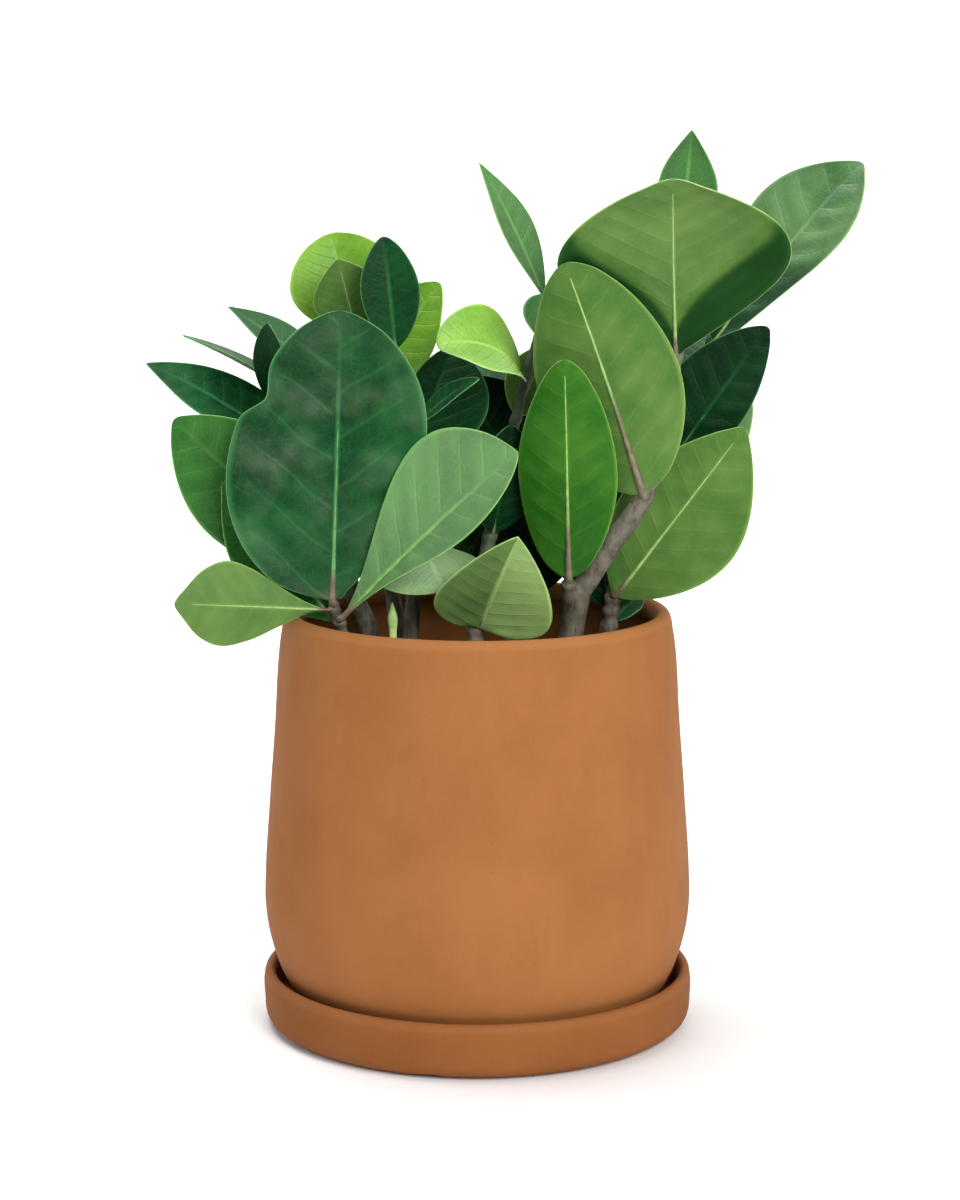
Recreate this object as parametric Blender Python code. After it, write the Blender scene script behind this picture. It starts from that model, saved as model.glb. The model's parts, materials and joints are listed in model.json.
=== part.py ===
"""Potted ZZ plant: terracotta pot and saucer, soil, woody stems and separate leaves.

Millimetres are used for every dimension below and turned into metres when a mesh is made.
The front of the plant faces -Y, +Z is up and the origin is the centre of the saucer's underside.
"""
import math
from dataclasses import dataclass

import bmesh
import bpy
from mathutils import Vector, noise

MM = 0.001
GAP = 0.3                # clearance kept between neighbouring pieces
ROUND_STEPS = 64         # divisions round the pot, the saucer and the soil
STEM_SIDES = 8
STEM_RINGS = 11

# Saucer, as radius and height pairs from the axis outwards and back in.
SAUCER_FLOOR = 5.0
SAUCER_PROFILE = [
    (0.0, 0.0), (68.0, 0.0), (71.5, 0.7), (73.8, 2.4), (74.8, 5.0), (75.0, 8.0),
    (75.0, 16.4), (74.5, 18.3), (73.3, 19.3), (72.0, 18.9), (71.2, 17.4),
    (70.8, 10.0), (69.6, 6.6), (67.0, SAUCER_FLOOR), (0.0, SAUCER_FLOOR),
]
NICK_AT = (-17.0, -73.5)     # small nick in the saucer's lower front edge
NICK_RADIUS = 6.0
NICK_HEIGHT = 1.5

# Pot.
POT_BASE = SAUCER_FLOOR + GAP
DRAIN_RADIUS = 8.0
POT_FLOOR = 12.5
POT_OUTSIDE = [
    (DRAIN_RADIUS, POT_BASE), (50.0, POT_BASE), (58.0, 7.0), (64.0, 11.2), (68.0, 17.0),
    (70.8, 24.0), (72.8, 31.0), (74.0, 38.0), (74.5, 45.0), (74.3, 54.0), (72.8, 76.0),
    (70.6, 104.0), (67.6, 140.0),
]
POT_RIM = [(66.9, 143.6), (65.6, 145.2), (64.2, 145.5), (62.8, 145.0), (62.1, 143.8)]
RIM_BAND = [(62.0, 139.2), (62.9, 138.4)]
POT_INSIDE = [
    (63.6, 126.0), (65.6, 98.0), (67.8, 68.0), (69.0, 47.0),
    (67.2, 33.0), (62.5, 22.0), (55.0, 14.6), (46.0, POT_FLOOR), (DRAIN_RADIUS, POT_FLOOR),
]

# Soil.
SOIL_TOP = 120.0
SOIL_MOUND = 3.0
SOIL_LUMPS = 1.6
STEM_DEPTH = 26.0            # how far every stem goes down into the soil

LEAF_STATIONS = 8            # divisions along a leaf
LONG_LEAF = 60.0             # leaves longer than this get more divisions
LONG_LEAF_STATIONS = 11
LEAF_ACROSS = (-1.0, -0.5, 0.0, 0.5, 1.0)
LEAF_THICKNESS = 1.0
END = 1000.0                 # height of a leaf that sits on the very end of its stem

TERRACOTTA = (0.42, 0.155, 0.058)
SAUCER_CLAY = (0.37, 0.125, 0.05)
EARTH = (0.035, 0.022, 0.014)
BARK = (0.27, 0.215, 0.155)
DEEP = (0.02, 0.11, 0.045)
GREEN = (0.06, 0.2, 0.05)
PALE = (0.16, 0.32, 0.09)
LIME = (0.26, 0.48, 0.05)


@dataclass
class Stem:
    """A woody frond stem: way points from the soil upwards and its two radii."""

    name: str
    points: list
    thick: float
    thin: float


@dataclass
class Leaf:
    """One leaflet, described by where it leaves its stem and how it reaches and faces."""

    name: str
    stem: str
    height: float            # height above the ground where it leaves the stem
    reach: tuple             # from the base of the blade to its tip
    width: float
    face: tuple              # where the upper side looks
    colour: tuple
    side: tuple = None       # side of the stem its base sits on, along its reach if not given
    arch: float = 25.0       # bend of the midrib towards the underside, degrees
    cup: float = 0.12        # rise of the edges towards the upper side, share of half the width
    fold: float = 0.08       # straight fold along the midrib, same share
    belly: float = 0.5       # place of the widest point along the midrib
    left_belly: float = 0.0  # the same for the left half where it differs
    lean: float = 0.0        # share of the width moved from the left half to the right half
    blunt: float = 0.75      # 0.5 is nearly round, 1.2 is pointed


STEMS = [
    Stem("stem_front_left", [(-34, -6), (-36, -8, 136), (-44, -11, 156), (-55, -3, 190),
                             (-58, 8, 218), (-42, 16, 240)], 4.3, 1.5),
    Stem("stem_low_left", [(-43, -17), (-45, -20, 138), (-49, -24, 151)], 2.4, 1.6),
    Stem("stem_back_left", [(-27, 24), (-31, 29, 150), (-40, 36, 200), (-43, 39, 238)], 3.6, 1.4),
    Stem("stem_middle_left", [(-24, -8), (-23, -9, 138), (-21, -6, 165), (-23, 2, 200),
                              (-28, 8, 234)], 3.2, 1.4),
    Stem("stem_middle", [(0, -12), (-1, -12, 140), (3, -6, 165), (13, 8, 210),
                         (24, 14, 250)], 3.4, 1.4),
    Stem("stem_right", [(32, -9), (32, -9, 145), (40, -9, 160), (50, -11, 176), (60, -10, 192),
                        (67, 2, 222), (70, 12, 250), (71, 20, 276)], 5.0, 1.5),
    Stem("stem_far_right", [(46, 10), (46, 9, 140), (52, 9, 165), (62, 12, 190),
                            (75, 20, 226)], 3.6, 1.5),
    Stem("stem_back", [(12, 28), (13, 32, 150), (18, 38, 190), (27, 42, 235)], 3.4, 1.4),
]
FORK = Stem("fork", [(32, -9, 144), (31.5, -12, 151), (31, -16, 157)], 3.6, 2.4)
FORK_OF = "stem_right"

LEAVES = [
    # front left
    Leaf("leaf_front_big", "stem_low_left", END, (4, -9, 98), 66, (0, -1, -0.05), DEEP,
         arch=-16, cup=0.1, fold=0.04, belly=0.6, left_belly=0.42, lean=-0.1, blunt=0.55),
    Leaf("leaf_front_long", "stem_low_left", 146, (59, -22, 59), 37, (-0.5, -0.9, 0.35), GREEN,
         side=(1, -0.8, 0), arch=12, cup=0.15, fold=0.05, belly=0.7, lean=-0.35, blunt=0.7),
    Leaf("leaf_low_curl", "stem_low_left", 145, (-37, 3, 47), 32, (0, -1, 0), GREEN,
         side=(-1, 0.6, 0), arch=-5, cup=0.03, fold=0.0, blunt=0.9),
    Leaf("leaf_low_left", "stem_low_left", 150, (-51, -12, 4), 29, (0, 1, 0), PALE,
         side=(-1, -1, 0), arch=10, belly=0.66, blunt=1.0),
    Leaf("leaf_left", "stem_front_left", 158, (-57, 4, 54), 40, (0, -1, 0.1), GREEN,
         side=(-0.3, -1, 0), arch=15, cup=0.05, fold=0.0, belly=0.55, blunt=0.75),
    Leaf("leaf_left_dark", "stem_front_left", 198, (-55, 12, 32), 26, (0.3, -0.6, 0.75), DEEP,
         arch=20, belly=0.45, blunt=0.85),
    Leaf("leaf_left_spear", "stem_front_left", 216, (-42, 8, 22), 17, (0.3, 0.0, 0.95), DEEP,
         arch=12, blunt=1.0),
    Leaf("leaf_left_upper_spear", "stem_front_left", 226, (-31, 2, 22), 18, (0.3, -0.5, 0.8), DEEP,
         arch=10, belly=0.4, blunt=1.0),
    Leaf("leaf_left_narrow", "stem_front_left", 204, (-12, -12, 40), 24, (-0.75, -0.6, 0.0), DEEP,
         arch=20, blunt=0.7),
    # back left
    Leaf("leaf_lime", "stem_back_left", END, (-9, 4, 34), 38, (0.1, -1, 0.1), LIME,
         arch=20, blunt=0.6),
    Leaf("leaf_lime_right", "stem_back_left", 214, (27, -4, 42), 28, (-0.3, -0.9, 0.3), LIME,
         side=(1, -1.5, 0), arch=20, blunt=0.7),
    Leaf("leaf_grey", "stem_front_left", END, (-6, 0, 24), 25, (0, 0.9, 0.3), PALE,
         arch=15, belly=0.42, blunt=0.85),
    Leaf("leaf_top_dark", "stem_middle_left", END, (-4, 0, 38), 20, (0.1, -1, 0.1), DEEP,
         arch=15, blunt=0.65),
    Leaf("leaf_back_left_out", "stem_back_left", 190, (-34, 34, 26), 30, (0.3, -0.2, 0.9), DEEP),
    Leaf("leaf_back_left_up", "stem_back_left", 212, (-12, 42, 30), 28, (0, -0.5, 0.8), GREEN),
    Leaf("leaf_back_left_low", "stem_back_left", 158, (-24, 44, 10), 30, (0, 0, 1), DEEP),
    # middle
    Leaf("leaf_middle_lime", "stem_middle", 225, (-29, -13, 11), 36, (0.2, -0.5, 0.8), LIME,
         arch=85, blunt=0.6),
    Leaf("leaf_middle_small", "stem_middle_left", 207, (23, -18, 19), 10, (-0.5, -0.5, 0.6), DEEP),
    Leaf("leaf_middle_back", "stem_middle_left", 198, (13, 16, 37), 30, (-0.2, -0.9, 0.3), DEEP,
         side=(0.5, 1, 0), arch=8, cup=0.0, lean=0.35, blunt=0.65),
    Leaf("leaf_middle_arc", "stem_middle_left", 184, (25, -8, 22), 22, (-0.4, -0.4, 0.8), DEEP,
         side=(0.5, -1, 0), arch=30),
    Leaf("leaf_middle_fold", "stem_middle", 141, (13, -24, 35), 40, (0.1, 0.75, 0.65), PALE,
         side=(0.4, -1, 0), arch=6, cup=-0.05, fold=-0.5, belly=0.42, blunt=0.8),
    Leaf("leaf_middle_drop", "stem_middle_left", 170, (9, -26, -14), 36, (0, -0.4, 0.9), PALE,
         side=(0.2, -1, 0), arch=30, cup=-0.3, fold=0.0, blunt=0.6),
    Leaf("leaf_middle_tall", "stem_middle", 172, (6, -6, 38), 24, (0.4, -0.9, 0), DEEP,
         side=(0.3, -1, 0), arch=15, blunt=0.7),
    Leaf("leaf_middle_pale", "stem_middle", 212, (12, 8, 24), 18, (0, 0.9, 0.2), PALE,
         side=(0, 1, 0)),
    Leaf("leaf_middle_shade", "stem_middle", 146, (-20, 36, 40), 32, (0, -1, 0.5), DEEP,
         side=(-0.6, 1, 0), blunt=0.9),
    Leaf("leaf_middle_high", "stem_back", 188, (-26, -20, 36), 36, (0, -1, 0.2), DEEP,
         side=(-0.3, -1, 0), blunt=0.8),
    Leaf("leaf_middle_shade_low", "stem_back", 141, (-4, -8, 46), 48, (0, -1, -0.1), DEEP,
         side=(0, -1, 0), cup=0.06),
    Leaf("leaf_spear", "stem_middle", END, (-23, 4, 47), 18, (0.75, -0.6, 0.3), GREEN,
         arch=10, blunt=1.05),
    Leaf("leaf_spear_small", "stem_middle", 244, (9, -2, 10), 10, (0, -0.9, 0.3), DEEP),
    # right
    Leaf("leaf_right_crown", "stem_right", 232, (-4, -36, 60), 78, (0, 0.8, 0.6), PALE,
         arch=40, cup=-0.18, fold=0.0, belly=0.58, blunt=0.72),
    Leaf("leaf_right_front", "stem_right", 186, (-27, -4, 78), 48, (0.15, 0.95, 0.1), PALE,
         side=(-0.3, -1, 0), arch=15, belly=0.46, blunt=0.6),
    Leaf("leaf_fork", "fork", END, (-2, -9, 75), 33, (0.1, 1, 0), GREEN,
         arch=12, belly=0.46, blunt=0.6),
    Leaf("leaf_right_top", "stem_right", END, (3, 4, 32), 21, (0.1, -1, 0.2), GREEN,
         arch=10, belly=0.35, blunt=0.95),
    Leaf("leaf_right_high", "stem_far_right", END, (58, 8, 71), 34, (-0.45, -0.75, 0.5), PALE,
         arch=14, cup=0.2, belly=0.66, blunt=0.8),
    Leaf("leaf_right_dark", "stem_far_right", 188, (38, -2, 54), 29, (0, -1, 0), DEEP,
         side=(0.2, -1, 0), arch=5, cup=0.02, fold=0.0, lean=-0.2, blunt=0.7),
    Leaf("leaf_right_low", "stem_far_right", 149, (43, -12, 60), 44, (0.11, 0.96, 0.16), PALE,
         side=(0.15, -1, 0), arch=0, cup=0.0, fold=0.0, belly=0.46, lean=-0.1, blunt=0.8),
    Leaf("leaf_right_edge", "stem_far_right", 170, (42, 22, 46), 28, (-0.2, -0.9, 0.4), PALE,
         side=(0.3, 1, 0), arch=15, blunt=0.7),
    Leaf("leaf_right_shade", "stem_far_right", 144, (-6, 9, 48), 34, (0, -1, 0.1), DEEP,
         side=(-0.3, 1, 0), cup=-0.05, fold=0.0, blunt=0.8),
    Leaf("leaf_right_small", "stem_far_right", 139, (10, 8, 8), 12, (0, -0.4, 0.9), DEEP,
         side=(0.5, 1, 0)),
    # back
    Leaf("leaf_back_high", "stem_back", 232, (8, 34, 18), 28, (0, -0.5, 0.8), GREEN),
    Leaf("leaf_back_mid", "stem_back", 204, (-26, 34, 24), 32, (0.2, -0.3, 0.9), DEEP),
    Leaf("leaf_back_right", "stem_back", 188, (40, 32, 22), 34, (-0.3, -0.2, 0.9), DEEP),
    Leaf("leaf_back_low", "stem_back", 160, (14, 46, 6), 34, (0, 0, 1), GREEN),
    Leaf("leaf_back_far_right", "stem_far_right", 221, (16, 46, 14), 34, (0, -0.2, 0.9), DEEP,
         side=(0, 1, 0)),
]


def clear_objects():
    """Remove whatever objects the scene starts with."""
    for item in list(bpy.data.objects):
        bpy.data.objects.remove(item, do_unlink=True)


def finish(name, colour, roughness):
    """Return a plain Principled material of its own for one piece."""
    material = bpy.data.materials.new(name + "_finish")
    material.use_nodes = True
    shader = material.node_tree.nodes["Principled BSDF"]
    shader.inputs["Base Color"].default_value = (*colour, 1.0)
    shader.inputs["Roughness"].default_value = roughness
    return material


def add_object(name, body, colour, roughness, origin=(0.0, 0.0, 0.0)):
    """Turn a bmesh in millimetres into a smooth-shaded object in metres, set at its origin."""
    bmesh.ops.translate(body, vec=-Vector(origin), verts=body.verts)
    bmesh.ops.scale(body, vec=(MM, MM, MM), verts=body.verts)
    bmesh.ops.recalc_face_normals(body, faces=body.faces)
    for face in body.faces:
        face.smooth = True
    mesh = bpy.data.meshes.new(name)
    body.to_mesh(mesh)
    body.free()
    mesh.materials.append(finish(name, colour, roughness))
    item = bpy.data.objects.new(name, mesh)
    item.location = Vector(origin) * MM
    bpy.context.scene.collection.objects.link(item)
    return item


def turned(profile):
    """Return a bmesh of a profile of radius and height pairs turned round the Z axis."""
    body = bmesh.new()
    rings = []
    for radius, height in profile:
        if radius == 0.0:
            rings.append([body.verts.new((0.0, 0.0, height))])
            continue
        ring = []
        for step in range(ROUND_STEPS):
            angle = 2.0 * math.pi * step / ROUND_STEPS
            ring.append(body.verts.new((radius * math.cos(angle), radius * math.sin(angle), height)))
        rings.append(ring)
    pairs = list(zip(rings, rings[1:]))
    if profile[0][0] > 0.0:
        pairs.append((rings[-1], rings[0]))
    for lower, upper in pairs:
        for step in range(ROUND_STEPS):
            after = (step + 1) % ROUND_STEPS
            corners = []
            for corner in (lower[step % len(lower)], lower[after % len(lower)],
                           upper[after % len(upper)], upper[step % len(upper)]):
                if corner not in corners:
                    corners.append(corner)
            if len(corners) > 2:
                body.faces.new(corners)
    return body


def inset(profile, gap):
    """Return an open profile moved aside by a gap, square to its own run."""
    moved = []
    for index, (radius, height) in enumerate(profile):
        before = Vector(profile[max(index - 1, 0)])
        after = Vector(profile[min(index + 1, len(profile) - 1)])
        run = (after - before).normalized()
        moved.append((radius + run.y * gap, height - run.x * gap))
    return moved


def hide_cutter(cutter):
    """Keep a cutting body out of the finished object."""
    cutter.hide_render = True
    cutter.display_type = "WIRE"


def combine(item, tool, operation):
    """Cut or join one body with another by an exact Boolean."""
    modifier = item.modifiers.new(operation.lower(), "BOOLEAN")
    modifier.operation = operation
    modifier.solver = "EXACT"
    modifier.object = tool
    hide_cutter(tool)


def stem_path(stem):
    """Return evenly spread points and radii along a stem's smooth line."""
    marks = [Vector(point) if len(point) == 3 else None for point in stem.points]
    if marks[0] is None:
        across = Vector((stem.points[0][0], stem.points[0][1], 0.0))
        marks[0] = across + Vector((0.0, 0.0, SOIL_TOP))
        marks.insert(0, across + Vector((0.0, 0.0, SOIL_TOP - STEM_DEPTH)))
    marks = [marks[0] * 2.0 - marks[1]] + marks + [marks[-1] * 2.0 - marks[-2]]
    fine = []
    for index in range(1, len(marks) - 2):
        first, start, end, last = marks[index - 1:index + 3]
        for step in range(12):
            share = step / 12.0
            fine.append(0.5 * (2.0 * start + (end - first) * share
                               + (2.0 * first - 5.0 * start + 4.0 * end - last) * share ** 2
                               + (3.0 * start - first - 3.0 * end + last) * share ** 3))
    fine.append(marks[-2])
    lengths = [0.0]
    for before, after in zip(fine, fine[1:]):
        lengths.append(lengths[-1] + (after - before).length)
    points = []
    radii = []
    spot = 0
    for ring in range(STEM_RINGS):
        share = ring / (STEM_RINGS - 1)
        target = share * lengths[-1]
        while spot < len(fine) - 2 and lengths[spot + 1] < target:
            spot += 1
        part = (target - lengths[spot]) / (lengths[spot + 1] - lengths[spot])
        points.append(fine[spot].lerp(fine[spot + 1], part))
        radii.append(stem.thick + (stem.thin - stem.thick) * share)
    return points, radii


def sweep(body, points, radii):
    """Add a closed round tube along a line of points to a bmesh."""
    side = Vector((1.0, 0.0, 0.0))
    rings = []
    for index, point in enumerate(points):
        ahead = points[min(index + 1, len(points) - 1)] - points[max(index - 1, 0)]
        ahead.normalize()
        side = (side - ahead * side.dot(ahead)).normalized()
        other = ahead.cross(side)
        ring = []
        for step in range(STEM_SIDES):
            angle = 2.0 * math.pi * step / STEM_SIDES
            ring.append(body.verts.new(point + (side * math.cos(angle) + other * math.sin(angle))
                                       * radii[index]))
        rings.append(ring)
    for lower, upper in zip(rings, rings[1:]):
        for step in range(STEM_SIDES):
            after = (step + 1) % STEM_SIDES
            body.faces.new((lower[step], lower[after], upper[after], upper[step]))
    body.faces.new(rings[0])
    body.faces.new(rings[-1])


def make_saucer():
    """Make the saucer with the small nick in its lower edge."""
    saucer = add_object("saucer", turned(SAUCER_PROFILE), SAUCER_CLAY, 0.75)
    nick = bmesh.new()
    bmesh.ops.create_cone(nick, cap_ends=True, segments=24, radius1=NICK_RADIUS,
                          radius2=NICK_RADIUS, depth=20.0)
    bmesh.ops.scale(nick, vec=(1.0, 1.0, NICK_HEIGHT / 10.0), verts=nick.verts)
    bmesh.ops.translate(nick, vec=(*NICK_AT, 0.0), verts=nick.verts)
    combine(saucer, add_object("saucer_nick", nick, SAUCER_CLAY, 0.75), "DIFFERENCE")


def make_pot():
    """Make the pot with its drainage hole and the thicker band inside the rim."""
    profile = POT_OUTSIDE + POT_RIM + RIM_BAND + POT_INSIDE
    add_object("pot", turned(profile), TERRACOTTA, 0.7, (0.0, 0.0, POT_BASE))


def make_soil(paths):
    """Make the soil with an uneven top and a socket round each stem."""
    wall = [(radius, height) for radius, height in POT_INSIDE if height < SOIL_TOP]
    top_radius = 64.0 - GAP
    side = [(top_radius - 0.1, SOIL_TOP - 1.5)] + inset(wall[:-1], GAP)
    side = [(radius - 0.1, max(height, POT_FLOOR + GAP)) for radius, height in side]
    profile = [(0.0, POT_FLOOR + GAP)] + side[::-1]
    for share in (0.93, 0.8, 0.64, 0.46, 0.26):
        profile.append((top_radius * share, SOIL_TOP + SOIL_MOUND * (1.0 - share ** 2)))
    profile.append((0.0, SOIL_TOP + SOIL_MOUND))
    body = turned(profile)
    for vert in body.verts:
        if vert.co.z > SOIL_TOP - 0.5:
            vert.co.z += SOIL_LUMPS * noise.noise(vert.co * 0.09)
    soil = add_object("soil", body, EARTH, 0.95)
    sockets = bmesh.new()
    for points, radii in paths:
        buried = [point for point in points if point.z < SOIL_TOP + 12.0]
        ring = [radius + GAP for radius in radii[:len(buried) + 1]]
        line = points[:len(buried) + 1]
        line = [line[0] - Vector((0.0, 0.0, GAP))] + line[1:]
        sweep(sockets, line, ring)
    combine(soil, add_object("soil_sockets", sockets, EARTH, 0.95), "DIFFERENCE")


def make_stem(stem):
    """Make one stem and return its line and radii."""
    points, radii = stem_path(stem)
    body = bmesh.new()
    sweep(body, points, radii)
    item = add_object(stem.name, body, BARK, 0.6, points[0])
    return item, points, radii


def point_at(points, radii, height):
    """Return the centre, direction and radius of a stem at a height."""
    for index in range(len(points) - 1):
        lower, upper = points[index], points[index + 1]
        if lower.z <= height <= upper.z:
            share = (height - lower.z) / (upper.z - lower.z)
            radius = radii[index] + (radii[index + 1] - radii[index]) * share
            return lower.lerp(upper, share), (upper - lower).normalized(), radius
    return points[-1], (points[-1] - points[-2]).normalized(), radii[-1]


def half_width(leaf, share, place):
    """Return the width of one half of a leaf at a share of its length."""
    left = place < 0.0
    power = math.log(0.5) / math.log(leaf.left_belly if left and leaf.left_belly else leaf.belly)
    lean = 1.0 - leaf.lean if left else 1.0 + leaf.lean
    return 0.5 * leaf.width * lean * math.sin(math.pi * share ** power) ** leaf.blunt


def make_leaf(leaf, lines):
    """Make one leaflet as a thin closed blade starting just off its stem."""
    centre, along, radius = point_at(*lines[leaf.stem], leaf.height)
    reach = Vector(leaf.reach)
    ahead = reach.normalized()
    out = reach - along * reach.dot(along)
    if leaf.height == END:
        out = ahead
    elif leaf.side:
        out = Vector(leaf.side) - along * Vector(leaf.side).dot(along)
    if leaf.height == END:
        radius *= 0.5
    base = centre + out.normalized() * (radius + GAP + 0.1)
    face = Vector(leaf.face)
    face = (face - ahead * face.dot(ahead)).normalized()
    across = ahead.cross(face)
    bend = math.radians(leaf.arch)
    body = bmesh.new()
    tip_rows = []
    steps = LONG_LEAF_STATIONS if reach.length > LONG_LEAF else LEAF_STATIONS
    for station in range(steps + 1):
        share = 0.65 * 0.5 * (1.0 - math.cos(math.pi * station / steps)) + 0.35 * station / steps
        turn = bend * (share - 0.5)
        if abs(bend) > 1e-6:
            scale = reach.length / (2.0 * math.sin(bend / 2.0))
            run = scale * (math.sin(turn) + math.sin(bend / 2.0))
            rise = scale * (math.cos(turn) - math.cos(bend / 2.0))
        else:
            run, rise = reach.length * share, 0.0
        middle = base + ahead * run + face * rise
        normal = face * math.cos(turn) + ahead * math.sin(turn)
        inner = 0 < station < steps
        upper = []
        lower = []
        for place in LEAF_ACROSS:
            half = half_width(leaf, share, place) if inner else 0.0
            lift = half * (leaf.cup * place ** 2 + leaf.fold * abs(place))
            spot = middle + across * (half * place) + normal * lift
            if not inner or abs(place) == 1.0:
                vert = body.verts.new(spot) if inner or place == -1.0 else upper[0]
                upper.append(vert)
                lower.append(vert)
                continue
            thick = 0.5 * LEAF_THICKNESS * (1.0 - 0.4 * abs(place))
            upper.append(body.verts.new(spot + normal * thick))
            lower.append(body.verts.new(spot - normal * thick))
        tip_rows.append((upper, lower))
    for (upper, lower), (next_upper, next_lower) in zip(tip_rows, tip_rows[1:]):
        for first, second in ((upper, next_upper), (lower, next_lower)):
            for step in range(len(LEAF_ACROSS) - 1):
                corners = []
                for corner in (first[step], first[step + 1], second[step + 1], second[step]):
                    if corner not in corners:
                        corners.append(corner)
                body.faces.new(corners)
    add_object(leaf.name, body, leaf.colour, 0.4, base)


def make_bud():
    """Make the small lime bud standing beside the front left stem."""
    body = bmesh.new()
    points = [Vector((-28.0, -21.0, 96.0)), Vector((-28.0, -21.0, 124.0)),
              Vector((-28.2, -21.0, 140.0)), Vector((-28.6, -21.5, 147.0)),
              Vector((-29.0, -22.0, 151.0))]
    radii = [1.3, 1.2, 1.3, 1.6, 0.4]
    sweep(body, points, radii)
    add_object("bud", body, LIME, 0.45)
    return points, radii


def main():
    """Build the saucer, the pot, the soil, the stems and the leaves."""
    clear_objects()
    make_saucer()
    make_pot()
    lines = {}
    for stem in STEMS:
        item, points, radii = make_stem(stem)
        lines[stem.name] = (points, radii)
        if stem.name == FORK_OF:
            branch, fork_points, fork_radii = make_stem(FORK)
            lines[FORK.name] = (fork_points, fork_radii)
            combine(item, branch, "UNION")
    buried = [lines[stem.name] for stem in STEMS]
    buried.append(make_bud())
    make_soil(buried)
    for leaf in LEAVES:
        make_leaf(leaf, lines)


main()
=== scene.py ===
"""Potted ZZ plant: the finished look of its pot, saucer, soil, stems and leaves.

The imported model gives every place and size. Lengths held by the classes below are millimetres;
meshes are turned into metres when they are made. The front of the plant faces -Y.
"""
import json
import logging
import math
from collections.abc import Sequence
from dataclasses import dataclass, field
from enum import Enum

import bmesh
import bpy
import numpy as np
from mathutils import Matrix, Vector, noise
from mathutils.bvhtree import BVHTree


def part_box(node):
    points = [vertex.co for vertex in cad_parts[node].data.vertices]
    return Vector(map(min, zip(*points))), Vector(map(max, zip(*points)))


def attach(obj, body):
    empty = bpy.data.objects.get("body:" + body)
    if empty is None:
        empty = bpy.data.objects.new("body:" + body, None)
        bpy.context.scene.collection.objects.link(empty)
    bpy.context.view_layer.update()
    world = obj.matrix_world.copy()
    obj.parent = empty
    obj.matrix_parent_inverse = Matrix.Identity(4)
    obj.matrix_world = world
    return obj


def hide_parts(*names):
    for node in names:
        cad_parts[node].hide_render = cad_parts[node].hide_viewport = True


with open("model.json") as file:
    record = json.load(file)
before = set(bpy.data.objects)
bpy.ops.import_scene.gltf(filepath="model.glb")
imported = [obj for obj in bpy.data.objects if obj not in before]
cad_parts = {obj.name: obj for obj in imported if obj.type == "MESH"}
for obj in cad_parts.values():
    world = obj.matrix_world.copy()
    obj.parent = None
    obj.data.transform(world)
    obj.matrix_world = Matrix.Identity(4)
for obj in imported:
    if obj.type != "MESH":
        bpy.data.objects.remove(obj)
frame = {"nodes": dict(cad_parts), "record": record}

LOG = logging.getLogger("potted_zz_plant")
MM = 0.001
BODY = "root"
FRONT_AND_ABOVE = Vector((0.0, -1.0, 0.35))

Colour = tuple[float, float, float]


class Side(Enum):
    """The side of a leaf that is turned to the front and up."""

    UPPER = 1.0
    UNDER = -1.0


class Tone(Enum):
    """The leaf colours, each named after the record's material slot."""

    DEEP = "leaf_deep"
    GREEN = "leaf_green"
    PALE = "leaf_pale"
    LIME = "leaf_lime"


# ---------------------------------------------------------------- shared helpers


def millimetres(node: str) -> tuple[np.ndarray, list[list[int]]]:
    """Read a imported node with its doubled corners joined.

    Args:
        node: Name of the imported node.

    Returns:
        The corners in millimetres and the corner numbers of each face.
    """
    body = bmesh.new()
    body.from_mesh(frame["nodes"][node].data)
    bmesh.ops.remove_doubles(body, verts=body.verts, dist=1e-6)
    corners = np.array([vert.co for vert in body.verts]) / MM
    faces = [[vert.index for vert in face.verts] for face in body.faces]
    body.free()
    return corners, faces


def make_piece(name: str, corners: np.ndarray, faces: Sequence[Sequence[int]],
               materials: Sequence[bpy.types.Material],
               choice: Sequence[int] | None = None) -> bpy.types.Object:
    """Turn corners and faces into a smooth-shaded object with its faces turned outwards.

    Args:
        name: Name of the new piece.
        corners: Corner places in millimetres.
        faces: Corner numbers of each face.
        materials: Finishes of the piece.
        choice: Number of the finish of each face, all the first one if not given.

    Returns:
        The new object, in metres.
    """
    mesh = bpy.data.meshes.new(name)
    mesh.from_pydata((corners * MM).tolist(), [], [list(face) for face in faces])
    for material in materials:
        mesh.materials.append(material)
    if choice is not None:
        mesh.polygons.foreach_set("material_index", list(choice))
    mesh.polygons.foreach_set("use_smooth", [True] * len(mesh.polygons))
    body = bmesh.new()
    body.from_mesh(mesh)
    bmesh.ops.recalc_face_normals(body, faces=body.faces)
    body.to_mesh(mesh)
    body.free()
    piece = bpy.data.objects.new(name, mesh)
    bpy.context.scene.collection.objects.link(piece)
    return piece


def mount_piece(piece: bpy.types.Object, slot: str, *nodes: str) -> None:
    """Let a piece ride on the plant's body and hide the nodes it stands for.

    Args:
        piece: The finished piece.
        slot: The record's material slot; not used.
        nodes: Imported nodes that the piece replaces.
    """
    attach(piece, BODY)
    if nodes:
        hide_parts(*nodes)
    LOG.info("%s: %d faces", piece.name, len(piece.data.polygons))


def store(piece: bpy.types.Object, name: str, values: np.ndarray) -> None:
    """Store three numbers at each corner of a piece under a name."""
    layer = piece.data.attributes.new(name, "FLOAT_VECTOR", "POINT")
    layer.data.foreach_set("vector", values.astype(np.float32).ravel())


def smooth_step(value: np.ndarray, low: float, high: float) -> np.ndarray:
    """Return 0 below low, 1 above high and a smooth rise between them."""
    share = np.clip((value - low) / (high - low), 0.0, 1.0)
    return share * share * (3.0 - 2.0 * share)


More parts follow.
